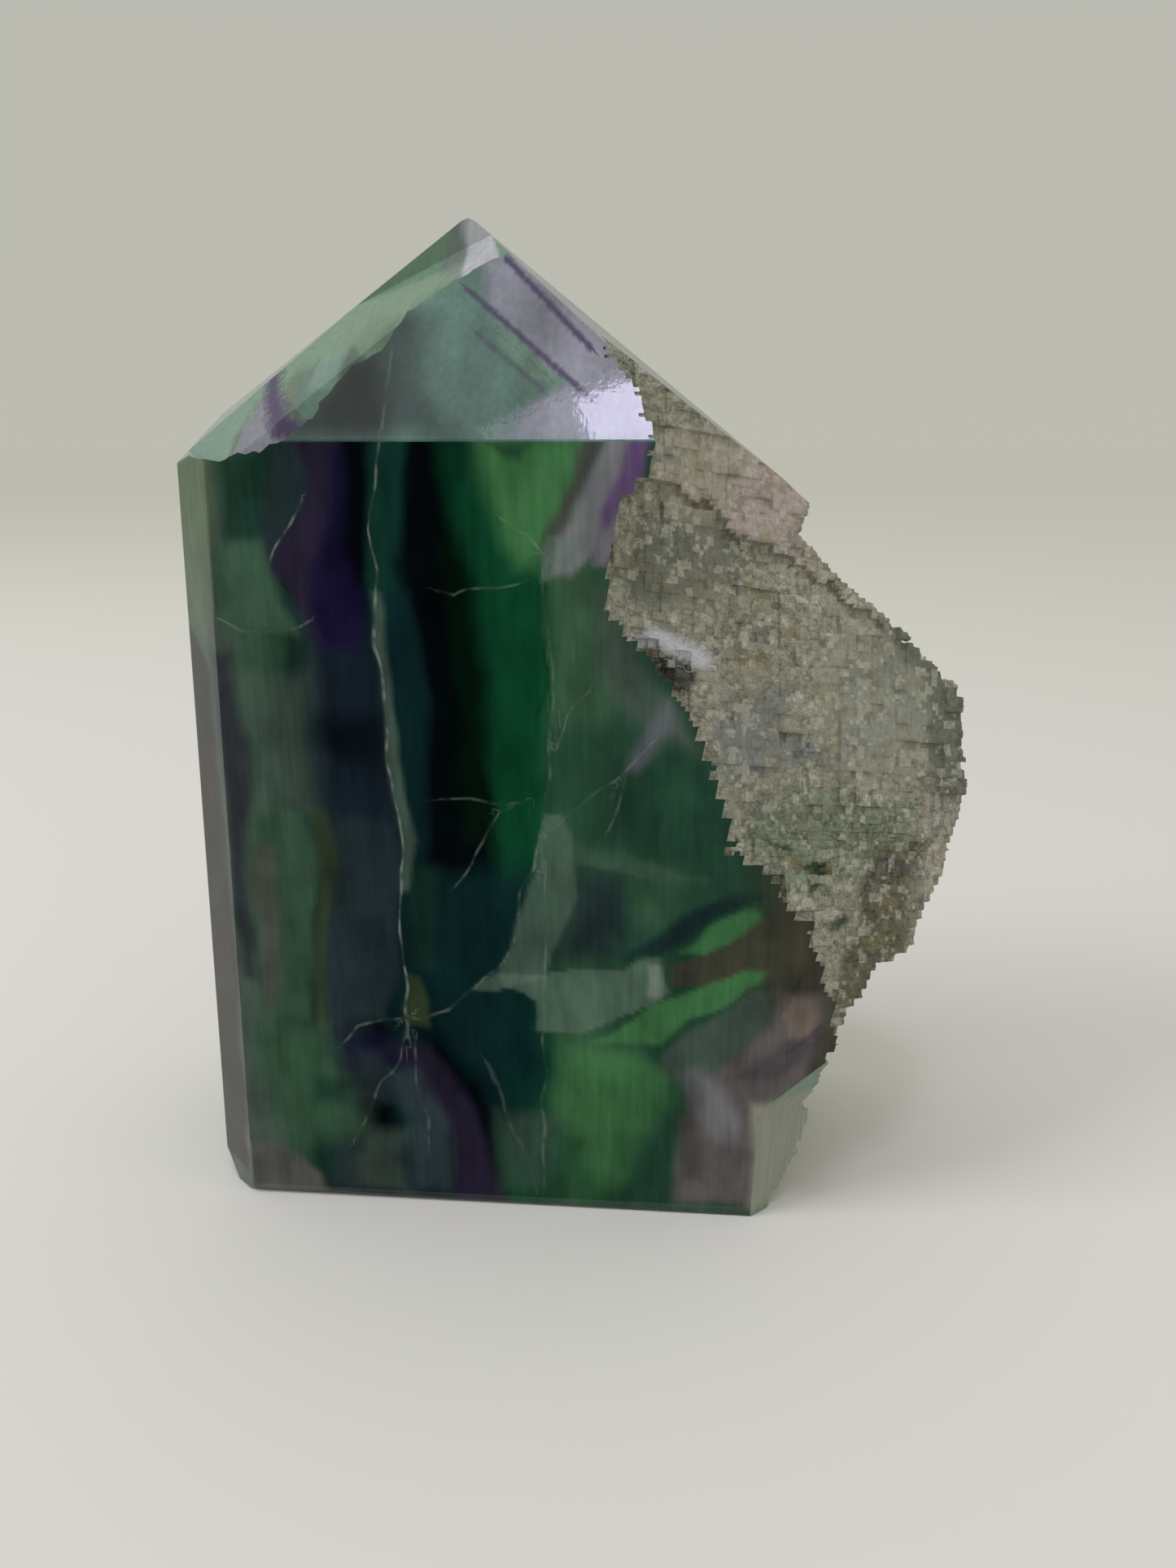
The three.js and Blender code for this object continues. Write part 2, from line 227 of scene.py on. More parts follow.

# ---- colours and markings -----------------------------------------------------

# Natural fluorite, sRGB colours.
PALETTE = {
    "spring": "586b51", "sage": "456250", "grey_green": "4d5c54", "forest": "17322a",
    "slate": "27343a", "navy": "17212d", "night": "040a0e", "ink": "020405",
    "plum": "2a2438", "indigo": "1a1236", "teal": "12352d", "deep_teal": "0f292c",
    "emerald": "0f462d", "leaf": "44764a", "moss": "3c5c45", "fern": "284a3a",
    "smoke": "474645", "ash": "3b3a39", "pine": "04190d", "pewter": "7d7d84",
    "violet": "654e7a", "lilac": "73707f", "mauve": "686364", "olive": "39472f",
    "umber": "46453b", "brown_grey": "565853", "salmon": "82756d", "orchid": "4f3353",
    "bone": "b3b2a3", "chalk": "a9b3ac", "veil": "62796b", "slate_blue": "3b4a50",
    "sea": "5a7a72", "heather": "8b8b9c", "wash": "43305f", "mint": "7b9c83",
    "ice": "7f9e92", "lavender": "cdcdd6", "stone": "9b9a8b", "tan": "aaa396",
    # Shade is painted shade where it marks the natural face, and also darkens some cells at random; pit
    # is the painted shade down in the pit.
    "rose": "b6a5a3", "ochre": "8a7c58", "shade": "6f7265", "stone_slate": "7d8180",
    "plate": "92968a", "lichen": "74836b", "khaki": "66654f", "moss_green": "1c3f1d",
    "dusk": "4c4d4f", "cream": "c9c7b8", "pit": "302e2e",
}

# Growth bands from the left end inward: where each starts, and its colour.
BANDS = [
    (-6, "grey_green"), (2, "grey_green"), (6, "sage"), (11, "forest"), (15, "slate"),
    (21, "night"), (24, "deep_teal"), (29, "night"), (37, "night"), (40, "emerald"),
    (45, "emerald"), (49, "moss"), (56, "fern"), (70, "fern"), (82, "umber"), (110, "brown_grey"),
]

# Markings of the polished faces, as they cross the front face. Each has a colour,
# a strength, how softly it ends in mm, and its left and right edge at some heights.
MARKS = {
    "yellow corner": ("spring", 0.8, 3, [(86, -5, 0), (93, -6, 1), (100, -6, 2), (112, -8, 3)]),
    "mauve chamfer": ("ash", 1.0, 0.6, [(4, -9, 0), (40, -9, 0), (80, -9, 0), (86, -9, -3)]),
    "upper forest": ("forest", 0.9, 2.5, [(96, 3, 8), (100, 3, 10), (105, 4, 11), (110, 4, 12)]),
    "upper slate": ("slate", 0.8, 1.5, [(96, 8, 11), (100, 9, 13), (105, 10, 14), (110, 11, 14)]),
    "sage shelf": ("sage", 0.8, 1.5, [(86, 6, 12), (87, 2, 12), (90, 1, 11), (95, 2, 10), (98, 3, 9)]),
    "leaf shelf": ("moss", 0.6, 2.5, [(76, 5, 9), (80, 5, 9), (84, 5, 10)]),
    "left mist": ("grey_green", 0.6, 3, [(62, 3, 13), (70, 5, 13), (80, 4, 13)]),
    "plum border": ("plum", 0.7, 1.5, [
        (36, 1, 3), (42, 1, 3), (50, 1, 3), (60, 1, 4), (68, 1, 5), (83, 1, 3),
    ]),
    "brown streak": ("brown_grey", 0.8, 1, [(31, 5, 6), (36, 4, 6), (44, 4, 7), (50, 4, 7), (56, 5, 8)]),
    "sage column": ("sage", 0.7, 1.5, [(30, 6, 10), (38, 6, 12), (45, 7, 12), (52, 8, 13), (62, 9, 12)]),
    "olive border": ("olive", 0.8, 1.2, [
        (28, 11, 13), (36, 12, 14), (45, 13, 15), (55, 13, 16), (62, 13, 15),
    ]),
    "slate column": ("slate", 0.9, 1.5, [
        (30, 13, 22), (38, 14, 24), (50, 16, 25), (60, 16, 24), (70, 14, 24),
    ]),
    "navy column": ("navy", 0.9, 2, [
        (60, 16, 24), (66, 15, 24), (75, 16, 24), (82, 15, 23), (88, 15, 22),
    ]),
    "night pocket": ("night", 0.75, 3.5, [(68, 18, 24), (71, 15, 24), (75, 14, 23)]),
    "plum lens": ("plum", 0.95, 0.8, [
        (85, 14, 16), (88, 14, 17), (92, 12, 17), (95, 10, 18), (98, 12, 18), (102, 14, 18),
        (106, 15, 18), (111, 13, 19),
    ]),
    "indigo strip": ("indigo", 0.85, 1.5, [
        (84, 16, 21), (88, 15, 22), (94, 16, 22), (98, 17, 20), (110, 18, 20),
    ]),
    "night strip": ("night", 0.95, 1.5, [(93, 21, 22), (98, 20, 22), (104, 20, 23), (111, 20, 23)]),
    "teal column": ("teal", 0.9, 1, [
        (89, 23, 25), (94, 22, 26), (99, 23, 27), (105, 23, 28), (111, 24, 29),
    ]),
    "lower teal": ("deep_teal", 0.9, 4, [(22, 34, 46), (30, 28, 45), (45, 26, 45), (54, 26, 45)]),
    "night column": ("night", 0.97, 1.8, [
        (54, 30, 34), (58, 28, 37), (66, 29, 38), (78, 30, 38), (88, 28, 37), (96, 26, 33),
        (104, 28, 32), (111, 29, 32),
    ]),
    "pine side": ("pine", 0.85, 2, [
        (58, 34, 37), (66, 34, 38), (78, 34, 39), (88, 33, 38), (98, 32, 35),
    ]),
    "vein side": ("deep_teal", 0.85, 1.4, [
        (55, 26, 28), (60, 26, 29), (68, 25, 30), (78, 25, 30), (84, 25, 29), (92, 24, 27),
    ]),
    "lower green": ("forest", 0.9, 1.5, [(38, 26, 30), (46, 26, 30), (54, 26, 30)]),
    "emerald band": ("emerald", 0.8, 2.5, [
        (62, 40, 46), (70, 38, 45), (80, 38, 45), (92, 37, 45), (100, 34, 45), (111, 33, 42),
    ]),
    "leaf band": ("leaf", 0.95, 2.5, [
        (95, 42, 44), (99, 40, 46), (103, 39, 48), (107, 38, 49), (111, 37, 50),
    ]),
    "forest fleck": ("forest", 0.7, 1.2, [(108, 41, 43), (110, 39, 44)]),
    "moss band": ("moss", 0.8, 2, [(74, 46, 53), (78, 46, 56), (84, 46, 55), (90, 46, 54), (96, 47, 53)]),
    "grey border": ("grey_green", 0.8, 3, [
        (71, 60, 67), (75, 57, 64), (80, 53, 60), (86, 52, 57), (92, 52, 55),
    ]),
    "smoke band": ("smoke", 0.85, 0.8, [
        (95, 45, 46), (98, 45, 48), (102, 47, 49), (106, 49, 51), (111, 50, 53),
    ]),
    "pewter band": ("pewter", 0.9, 1.2, [
        (94, 46, 49), (97, 47, 53), (101, 49, 55), (106, 51, 56), (111, 53, 56),
    ]),
    "violet edge": ("violet", 0.9, 0.9, [
        (96, 52, 54), (99, 54, 56), (102, 53, 57), (106, 55, 58), (111, 56, 59),
    ]),
    "pale flake": ("pewter", 0.85, 0.7, [(95, 52, 54), (98, 53, 56), (101, 55, 58), (104, 57, 60)]),
    "fern field": ("fern", 0.8, 3, [
        (50, 55, 75), (55, 51, 72), (61, 48, 70), (68, 46, 68), (74, 46, 60),
    ]),
    "lilac cloud": ("lilac", 0.55, 1.5, [(68, 56, 58), (70, 57, 60), (74, 59, 62), (78, 61, 62)]),
    "blue window": ("slate", 0.9, 4, [
        (40, 46, 52), (42, 46, 55), (46, 48, 57), (50, 49, 57), (54, 50, 55),
    ]),
    "green glow": ("moss", 0.6, 3, [(46, 57, 62), (50, 57, 66), (55, 57, 66)]),
    "dark diagonal": ("navy", 0.7, 1.5, [(41, 56, 61), (44, 60, 65), (48, 65, 70), (51, 71, 75)]),
    "upper streak": ("leaf", 0.9, 0.7, [
        (42, 64, 67), (44, 66, 71), (46, 68, 74), (48, 71, 75), (49, 73, 75),
    ]),
    "brown wedge": ("umber", 0.92, 0.7, [
        (37, 63, 67), (40, 63, 84), (42, 67, 83), (44, 71, 83), (47, 74, 82), (50, 78, 80),
    ]),
    "brown border": ("umber", 0.8, 1.2, [(34, 78, 79), (36, 77, 80), (40, 77, 84), (44, 78, 84)]),
    "lower streak": ("leaf", 0.95, 0.9, [
        (28, 52, 62), (30, 55, 64), (32, 58, 66), (34, 61, 70), (36, 65, 72), (38, 69, 75),
        (40, 73, 76),
    ]),
    "grey band": ("grey_green", 0.8, 1.2, [
        (22, 61, 69), (26, 62, 73), (30, 66, 76), (34, 71, 77), (37, 74, 78),
    ]),
    "mauve foot": ("mauve", 0.92, 1.8, [
        (2, 64, 78), (8, 64, 79), (14, 65, 80), (20, 66, 82), (24, 70, 83), (28, 74, 84),
        (32, 77, 84), (36, 79, 84),
    ]),
    "plum streak": ("plum", 0.35, 1.5, [(23, 72, 78), (26, 76, 82), (30, 80, 85)]),
    "salmon patch": ("salmon", 0.8, 1.2, [(30, 80, 83), (33, 79, 84), (36, 80, 83)]),
    "brown foot": ("umber", 0.6, 1.5, [(6, 65, 68), (12, 65, 68), (17, 64, 66)]),
    "pale foot": ("bone", 0.72, 1.5, [(2, 75, 78), (10, 76, 80), (15, 75, 82), (19, 75, 83)]),
    "pewter foot": ("pewter", 0.6, 2, [(12, 70, 74), (16, 67, 74), (21, 65, 71), (24, 66, 68)]),
    "leaf foot": ("leaf", 0.85, 3, [
        (2, 51, 54), (6, 51, 57), (12, 48, 59), (18, 46, 63), (22, 47, 63), (27, 48, 58),
    ]),
    "emerald foot": ("emerald", 0.4, 3, [(1, 46, 56), (6, 46, 54), (12, 46, 50)]),
    "left foot green": ("moss", 0.8, 3.5, [
        (10, 8, 18), (14, 5, 18), (18, 4, 18), (22, 3, 14), (28, 3, 12),
    ]),
    "forest cloud": ("forest", 0.7, 2, [(16, 10, 16), (20, 10, 17)]),
    "indigo cloud": ("indigo", 0.5, 1.8, [(22, 20, 27), (25, 15, 25), (28, 14, 22)]),
    "dim mist": ("slate_blue", 0.4, 2, [(17, 17, 22), (21, 17, 22), (25, 18, 21)]),
    "plum plume": ("plum", 0.85, 1.8, [
        (0, 32, 39), (5, 31, 37), (11, 30, 36), (17, 26, 34), (22, 24, 31), (26, 22, 28),
    ]),
    "plume side": ("deep_teal", 0.7, 2.5, [(5, 40, 46), (12, 38, 46), (20, 36, 45), (27, 34, 44)]),
    "sage mist": ("grey_green", 0.6, 2, [(2, 16, 24), (7, 16, 23), (12, 19, 24)]),
    "slate mist": ("slate_blue", 0.7, 2, [(2, 25, 31), (8, 24, 31), (14, 24, 30), (22, 22, 27)]),
    "mauve corner": ("mauve", 0.75, 1.2, [(1, 2, 12), (4, 1, 11), (7, 1, 8), (9, 0, 5)]),
    "olive strip": ("olive", 0.8, 1, [(29, 25, 28), (33, 25, 28), (37, 25, 27)]),
}

# Pale sheets and clouds inside, close under the front face alone.
VEILS = {
    "upright veil": ("veil", 0.5, 0.5, [
        (35, 35, 38), (38, 38, 45), (42, 40, 46), (46, 41, 48), (50, 43, 50), (53, 44, 50),
        (58, 45, 49), (62, 46, 48),
    ]),
    "level veil": ("veil", 0.6, 0.5, [
        (29, 44, 50), (32, 44, 55), (34, 44, 61), (36, 39, 63), (38, 38, 62), (39, 56, 62),
        (41, 59, 62),
    ]),
    "veil end": ("chalk", 0.3, 0.5, [(35, 60, 62), (40, 60, 62)]),
    "mist": ("veil", 0.25, 2, [(53, 62, 68), (55, 50, 62), (57, 50, 56)]),
    "vein haze": ("veil", 0.45, 0.7, [
        (50, 25, 26), (58, 25, 27), (66, 24, 26), (76, 24, 25), (84, 23, 24), (92, 23, 24),
    ]),
    "foot haze": ("veil", 0.25, 2.5, [(2, 38, 46), (8, 38, 47), (16, 38, 47)]),
    "pale wedge": ("veil", 0.45, 0.5, [(93, 45, 46), (95, 45, 48), (97, 45, 51), (99, 46, 52)]),
}

# Markings of the top's front slope.
TOP_MARKS = {
    "slate cloud": ("slate", 0.75, 3, [(111, 13, 34), (116, 17, 34), (122, 20, 32), (127, 27, 31)]),
    "dark corner": ("night", 0.7, 3, [(111, 10, 26), (116, 15, 25), (121, 20, 24)]),
    "sea field": ("sea", 0.85, 4, [
        (112, 34, 42), (116, 31, 48), (120, 29, 47), (125, 30, 44), (129, 32, 38),
    ]),
    "sea patch": ("mint", 0.35, 1, [(118, 44, 48), (121, 40, 47), (124, 38, 44), (126, 37, 40)]),
    # Painted reflection: pale lavender where the lamps above glare on the right of the slope.
    "heather glare": ("heather", 0.95, 2, [
        (111, 42, 60), (115, 44, 60), (118, 49, 58), (122, 43, 54), (128, 37, 48), (134, 36, 42),
    ]),
}

# Markings of the broken faces beside it.
BREAK_MARKS = {
    "mint tooth": ("ice", 0.7, 0.4, [(104, -8, 6), (107, -8, 5), (112, -8, 4), (116, -8, 5)]),
    "grey border": ("sage", 0.7, 0.5, [(104, 5, 9), (108, 5, 8), (111, 4, 7), (116, 6, 8)]),
    "lilac field": ("heather", 0.9, 0.5, [(106, 6, 14), (109, 5, 14), (113, 5, 12), (117, 7, 10)]),
    "smoke border": ("smoke", 0.5, 1.0, [(111, 11, 15), (114, 11, 14), (118, 10, 13), (120, 11, 14)]),
    "sea patch": ("sea", 0.85, 0.8, [(112, 14, 20), (115, 13, 20), (118, 12, 20), (121, 14, 21)]),
    "ice patch": ("ice", 0.8, 0.7, [(117, 14, 17), (120, 14, 18), (122, 15, 18)]),
    "blue edge": ("slate_blue", 0.7, 0.6, [(117, 18, 21), (120, 18, 22), (123, 19, 22)]),
    "mint field": ("mint", 0.9, 0.6, [
        (121, 21, 25), (124, 18, 30), (129, 19, 33), (134, 26, 35), (138, 30, 34),
    ]),
    "moss border": ("moss", 0.45, 1.5, [(122, 22, 26), (125, 24, 29), (128, 27, 33), (131, 31, 36)]),
    "mint shade": ("moss", 0.3, 2.5, [(118, 16, 24), (122, 18, 26), (126, 21, 29)]),
    "apex": ("lavender", 0.9, 0.4, [(131, 33, 39), (135, 33, 38), (140, 32, 35)]),
    "apex side": ("pewter", 0.6, 0.6, [(132, 30, 33), (136, 30, 33), (140, 31, 33)]),
    "pale foot": ("bone", 0.72, 2, [(1, 74, 84), (19, 74, 86)]),
}

# Markings of the natural face, as seen from the front. The shade on the shelf, to its left, in the pit,
# in the valley and below the rim is painted shade.
STONE_MARKS = {
    "tan block": ("tan", 0.8, 3, [(98, 68, 80), (102, 62, 81), (106, 60, 79), (112, 60, 74)]),
    "rose block": ("rose", 0.75, 2, [(97, 74, 79), (99, 70, 80), (103, 70, 81), (107, 72, 78)]),
    "shaded shelf": ("shade", 0.7, 2, [(89, 56, 70), (93, 55, 73), (97, 57, 72), (101, 58, 68)]),
    "left shade": ("shade", 0.6, 2, [(90, 56, 64), (95, 56, 65), (99, 57, 63)]),
    "rose shoulder": ("rose", 0.5, 1.5, [(92, 79, 84), (96, 74, 82)]),
    "pale slope": ("bone", 1.0, 2.5, [(86, 84, 92), (90, 75, 86), (94, 73, 80)]),
    "pit shade": ("pit", 0.95, 1.2, [(78, 61, 65), (81, 59, 65), (83, 58, 64)]),
    "ochre crevice": ("ochre", 0.5, 1.2, [(80, 72, 78), (83, 71, 76)]),
    # Painted shade: the valley is darkened back toward the plain stone colour.
    "shaded valley": ("stone", 0.5, 2, [(74, 70, 80), (77, 80, 90), (80, 78, 88), (84, 80, 86)]),
    "plate": ("plate", 0.7, 2.5, [
        (64, 88, 108), (68, 86, 107), (72, 84, 106), (78, 86, 102), (82, 90, 98),
    ]),
    "rose rim": ("rose", 0.3, 2, [
        (48, 97, 104), (56, 98, 106), (62, 100, 110), (68, 104, 110), (74, 100, 108),
    ]),
    "rim shade": ("shade", 0.95, 2, [(58, 103, 114), (66, 101, 114), (75, 99, 114), (86, 92, 108)]),
    "slate middle": ("stone_slate", 0.8, 2, [(66, 70, 88), (72, 68, 78), (77, 70, 79)]),
    "lichen": ("lichen", 0.7, 2.5, [(50, 76, 88), (54, 76, 97), (58, 72, 98), (62, 74, 88)]),
    "cream patch": ("bone", 0.5, 1.2, [(42, 80, 88), (46, 78, 88), (50, 76, 80)]),
    "khaki foot": ("khaki", 0.9, 2, [
        (26, 82, 92), (34, 84, 92), (40, 88, 98), (48, 90, 98), (54, 92, 100),
    ]),
    "green specks": ("moss_green", 0.9, 0.8, [(50, 82, 84), (52, 81, 86), (53, 81, 85), (54, 80, 81)]),
    "low green specks": ("moss_green", 0.9, 0.8, [(44, 86, 88), (46, 85, 87)]),
    "small green speck": ("moss_green", 0.8, 0.6, [(56, 78, 80), (58, 75, 76)]),
    "dusk specks": ("dusk", 0.6, 0.8, [(48, 91, 94), (50, 91, 98), (52, 93, 96)]),
}

# Where the natural face is smooth, with a share of 1 for fully smooth.
SMOOTH_PATCHES = {
    "upper block": ("all", 0.8, 2, [(97, 66, 80), (101, 62, 81), (106, 60, 79), (112, 60, 72)]),
    "shelf": ("all", 0.5, 2, [(89, 58, 68), (93, 57, 70), (97, 58, 70)]),
    "middle": ("all", 0.6, 2, [(66, 70, 80), (72, 68, 78), (76, 70, 78)]),
    "plate": ("all", 0.85, 3, [(64, 86, 104), (70, 84, 104), (78, 84, 102), (86, 86, 96)]),
}

# Veins and cracks. Each has a colour, a strength, a width in mm, and its points in the
# front view: a distance from the left end and a height.
VEINS = {
    "main vein": ("chalk", 0.9, 0.35, [
        (25, 27), (25, 38), (25, 50), (25, 58), (24, 68), (24, 76), (23, 84), (23, 90), (24, 95),
        (23, 100), (25, 111),
    ]),
    "right line": ("chalk", 0.35, 0.35, [(45, 2), (45, 20), (45, 40), (46, 60), (46, 80), (45, 97)]),
    "lens edge": ("chalk", 0.9, 0.35, [(10, 95), (11, 97), (13, 100), (14, 103)]),
    "lens foot": ("ink", 0.6, 0.5, [(12, 92), (10, 94)]),
    "shelf arc": ("chalk", 0.5, 0.3, [(2, 88), (5, 86), (9, 86), (13, 87), (15, 88)]),
    "veil edge": ("chalk", 0.6, 0.4, [(36, 36), (39, 40), (41, 44), (42, 50), (44, 54), (46, 62)]),
    "low curve": ("chalk", 0.5, 0.4, [
        (15, 26), (18, 29), (22, 30), (27, 30), (31, 32), (36, 36), (39, 40),
    ]),
    "high crack": ("chalk", 0.35, 0.35, [(47, 71), (48, 75), (51, 79)]),
    "long crack": ("chalk", 0.4, 0.35, [(47, 60), (51, 64), (56, 68), (60, 72)]),
    "short crack": ("chalk", 0.35, 0.35, [(54, 60), (55, 63), (56, 67)]),
    "dark crack": ("chalk", 0.4, 0.35, [(32, 51), (34, 54), (37, 58), (39, 62), (43, 64)]),
    "foot crack": ("chalk", 0.4, 0.35, [(16, 10), (19, 15), (21, 20), (24, 24), (25, 29)]),
    "plume line": ("chalk", 0.45, 0.35, [(27, 10), (27, 15), (26, 20), (26, 27)]),
    "wedge edge": ("chalk", 0.55, 0.35, [(40, 101), (43, 99), (46, 96)]),
    "dark line": ("ink", 0.5, 0.6, [(44, 76), (45, 80), (45, 88), (46, 95)]),
    "orchid line": ("orchid", 0.8, 0.8, [(81, 28), (84, 31)]),
    "brown line": ("ink", 0.4, 1.0, [(79, 34), (81, 38)]),
    "high dots": ("chalk", 0.4, 0.3, [(31, 92), (34, 91), (36, 92), (40, 92), (43, 93)]),
    "middle dots": ("chalk", 0.35, 0.3, [(31, 64), (35, 64), (38, 63), (43, 64)]),
    "foot dots": ("chalk", 0.2, 0.6, [(44, 2), (42, 10), (39, 18), (36, 24)]),
}
TOP_VEINS = {
    "upper stripe": ("wash", 1.8, 0.8, [(51, 122), (39, 134)]),
    "long stripe": ("wash", 1.7, 0.8, [(51, 116), (34, 130)]),
    "faint stripe": ("wash", 0.9, 0.7, [(45, 117), (36, 124)]),
    "upright line": ("chalk", 0.35, 0.35, [(25, 112), (25, 118), (25, 122)]),
}
BREAK_VEINS = {
    "purple band": ("wash", 2.0, 3.0, [(15, 109), (12, 112), (8, 117), (7, 119)]),
    "tooth line": ("chalk", 0.8, 0.4, [(3, 106), (4, 110), (6, 114)]),
    "mint line": ("chalk", 0.4, 0.3, [(25, 124), (26, 128), (26, 132)]),
}
STONE_VEINS = {
    "pit rim": ("lavender", 2.0, 2.2, [(57, 85), (60, 86), (63, 84), (66, 82)]),
    "plate crack": ("dusk", 0.7, 0.5, [(88, 66), (90, 64), (95, 62), (98, 61)]),
    "ochre line": ("ochre", 0.6, 0.8, [(60, 103), (64, 107), (65, 112)]),
}

MARK_TABLES = {
    "body": MARKS, "veils": VEILS, "top": TOP_MARKS, "break": BREAK_MARKS, "stone": STONE_MARKS,
    "smooth": SMOOTH_PATCHES,
}
VEIN_TABLES = {"body": VEINS, "top": TOP_VEINS, "break": BREAK_VEINS, "stone": STONE_VEINS}

# ---- the stage, in metres, and the camera --------------------------------------

KEY_PLACE, KEY_TARGET, KEY_SIZE = (-1.1, -0.45, 0.95), (0, 0, 0.06), (0.6, 0.6)
KEY_COLOUR = (0.97, 0.98, 1.0) # nearly white
# The lights above: place, size, and share of the power.
TOP_LIGHTS = (
    ("top_wide", (-0.025, -0.275, 1.0), (0.27, 0.1), 0.08),
    ("top_near", (0.015, -0.31, 0.99), (0.14, 0.18), 0.42),
)
TOP_COLOUR = (0.78, 0.74, 1) # bluish
TOP_TURN = 22 # degrees
FLOOR_SIZE = 80.0
FLOOR_COLOUR = "d8d7d4"
SKY = ((0.0, "bdbcb0"), (0.35, "babab2"), (1.0, "fbfaee")) # by height above the horizon
DARK_SIZE = 1.6
DARK_HEIGHT = 0.45
DARK_START = -0.024 # just in front of the slab
DARK_DEPTH = 0.21
DARK_LIFT = 0.0002 # above the floor
DARK_COLOUR = "0a0b0b"
SENSOR = 24.0
IMAGE_HEIGHT = 1927
FOCAL_PIXELS = 1450 # focal length in pixels of that image height
CAMERA_PLACE = (63.5, -152.0, 110.0) # in mm, from the front face's corner
CAMERA_DIP = 16.0 # degrees below level
CAMERA_TURN = 4.6 # degrees to the left


# ---- solids -------------------------------------------------------------------

def picked(parts, kind):
    """The vertices, the edges or the faces among the parts of a mesh."""
    return [part for part in parts if isinstance(part, kind)]


def slice_off(bm, point, outward):
    """Cuts away everything on the outer side of a plane and closes the cut."""
    result = bmesh.ops.bisect_plane(
        bm, geom=[*bm.verts, *bm.edges, *bm.faces], dist=1e-5, plane_co=point, plane_no=outward,
        clear_outer=True,
    )
    bmesh.ops.holes_fill(bm, edges=picked(result["geom_cut"], BMEdge))


def upward_normal(a, b, c):
    """The upward normal of the plane through three points."""
    normal = (Vector(b) - Vector(a)).cross(Vector(c) - Vector(a)).normalized()
    return -normal if normal.z < 0 else normal


def mirrored(plane):
    """A plane mirrored to the other side of the middle of the slab."""
    (x, y, z), (nx, ny, nz) = plane
    return (x, THICKNESS - y, z), (nx, -ny, nz)


def box(low, high):
    """A bmesh box between two corners."""
    bm = bmesh.new()
    size = Vector(high) - Vector(low)
    place = Matrix.Translation(Vector(low) + size / 2) @ Matrix.Diagonal((*size, 1))
    bmesh.ops.create_cube(bm, size=1, matrix=place)
    return bm


def linked(name, data):
    """A new object in the scene, with its mesh, lamp or camera."""
    obj = bpy.data.objects.new(name, data)
    bpy.context.scene.collection.objects.link(obj)
    return obj


def meshed(name, bm):
    """An object in the scene, made from a bmesh."""
    mesh = bpy.data.meshes.new(name)
    bm.to_mesh(mesh)
    bm.free()
    return linked(name, mesh)


def solid(name, bm, surface):
    """Turns a bmesh into an object whose faces are all of one kind of surface."""
    bmesh.ops.recalc_face_normals(bm, faces=bm.faces)
    for face in bm.faces:
        face.material_index = surface
    obj = meshed(name, bm)
    for kind in SURFACES:
        material = bpy.data.materials.get(kind) or bpy.data.materials.new(kind)
        obj.data.materials.append(material)
    return obj


def cut(target, cutter):
    """Cuts one object by another and takes the cutter away."""
    step = target.modifiers.new("cut", "BOOLEAN")
    step.operation = "DIFFERENCE"
    step.solver = "MANIFOLD"
    step.object = cutter
    graph = bpy.context.evaluated_depsgraph_get()
    result = bpy.data.meshes.new_from_object(target.evaluated_get(graph))
    target.modifiers.clear()
    target.data = result
    bpy.data.objects.remove(cutter)


# ---- the sawn and polished faces ----------------------------------------------

def sawn_blank(polish_radius):
    """The sawn blank with its end, chamfers, pointed top and softly rounded edges."""
    bm = box(BLANK_LOW, BLANK_HIGH)
    front_top = (0, 0, FRONT_TOP)
    end = ((LEFT_FOOT, 0, 0), (-1, 0, LEFT_LEAN))
    corner = ((LEFT_FOOT, 0, CORNER_BEVEL[1]), (-CORNER_BEVEL[1], 0, -CORNER_BEVEL[0]))
    right = BLANK_HIGH[0]
    crest = upward_normal(front_top, (right, 0, FRONT_TOP), (right, MIDDLE, APEX[2]))
    paired = [
        ((0, 0, 0), (-CHAMFER, LEFT_FOOT, CHAMFER_LEAN * CHAMFER)),
        (front_top, crest),
        (APEX, upward_normal(APEX, LEFT_CREST, LEFT_SLOPE_FRONT)),
        (APEX, upward_normal(APEX, RIGHT_CREST, RIGHT_SLOPE_FRONT)),
        ((0, 0, BASE_BEVEL), (-BASE_BEVEL_TAPER, -1, -1)),
    ]
    for point, outward in [end, corner, *paired, *map(mirrored, paired)]:
        slice_off(bm, point, outward)
    bmesh.ops.dissolve_degenerate(bm, dist=1e-3, edges=bm.edges)
    bmesh.ops.bevel(
        bm, geom=bm.edges, offset=polish_radius, offset_type="OFFSET", affect="EDGES",
        segments=2, profile=0.5, material=-1, clamp_overlap=True,
    )
    return solid("sawn_blank", bm, POLISHED)


def ragged(points):
    """An outline broken into shorter, slightly wandering stretches."""
    wandering = []
    for start, end in zip(points, points[1:]):
        for part in range(EDGE_PARTS):
            spot = Vector(start).lerp(Vector(end), part / EDGE_PARTS).to_3d()
            shift = noise.noise_vector(spot * EDGE_WAVE) * EDGE_WANDER
            wandering.append((spot + shift).to_2d())
    return wandering + [points[-1]]


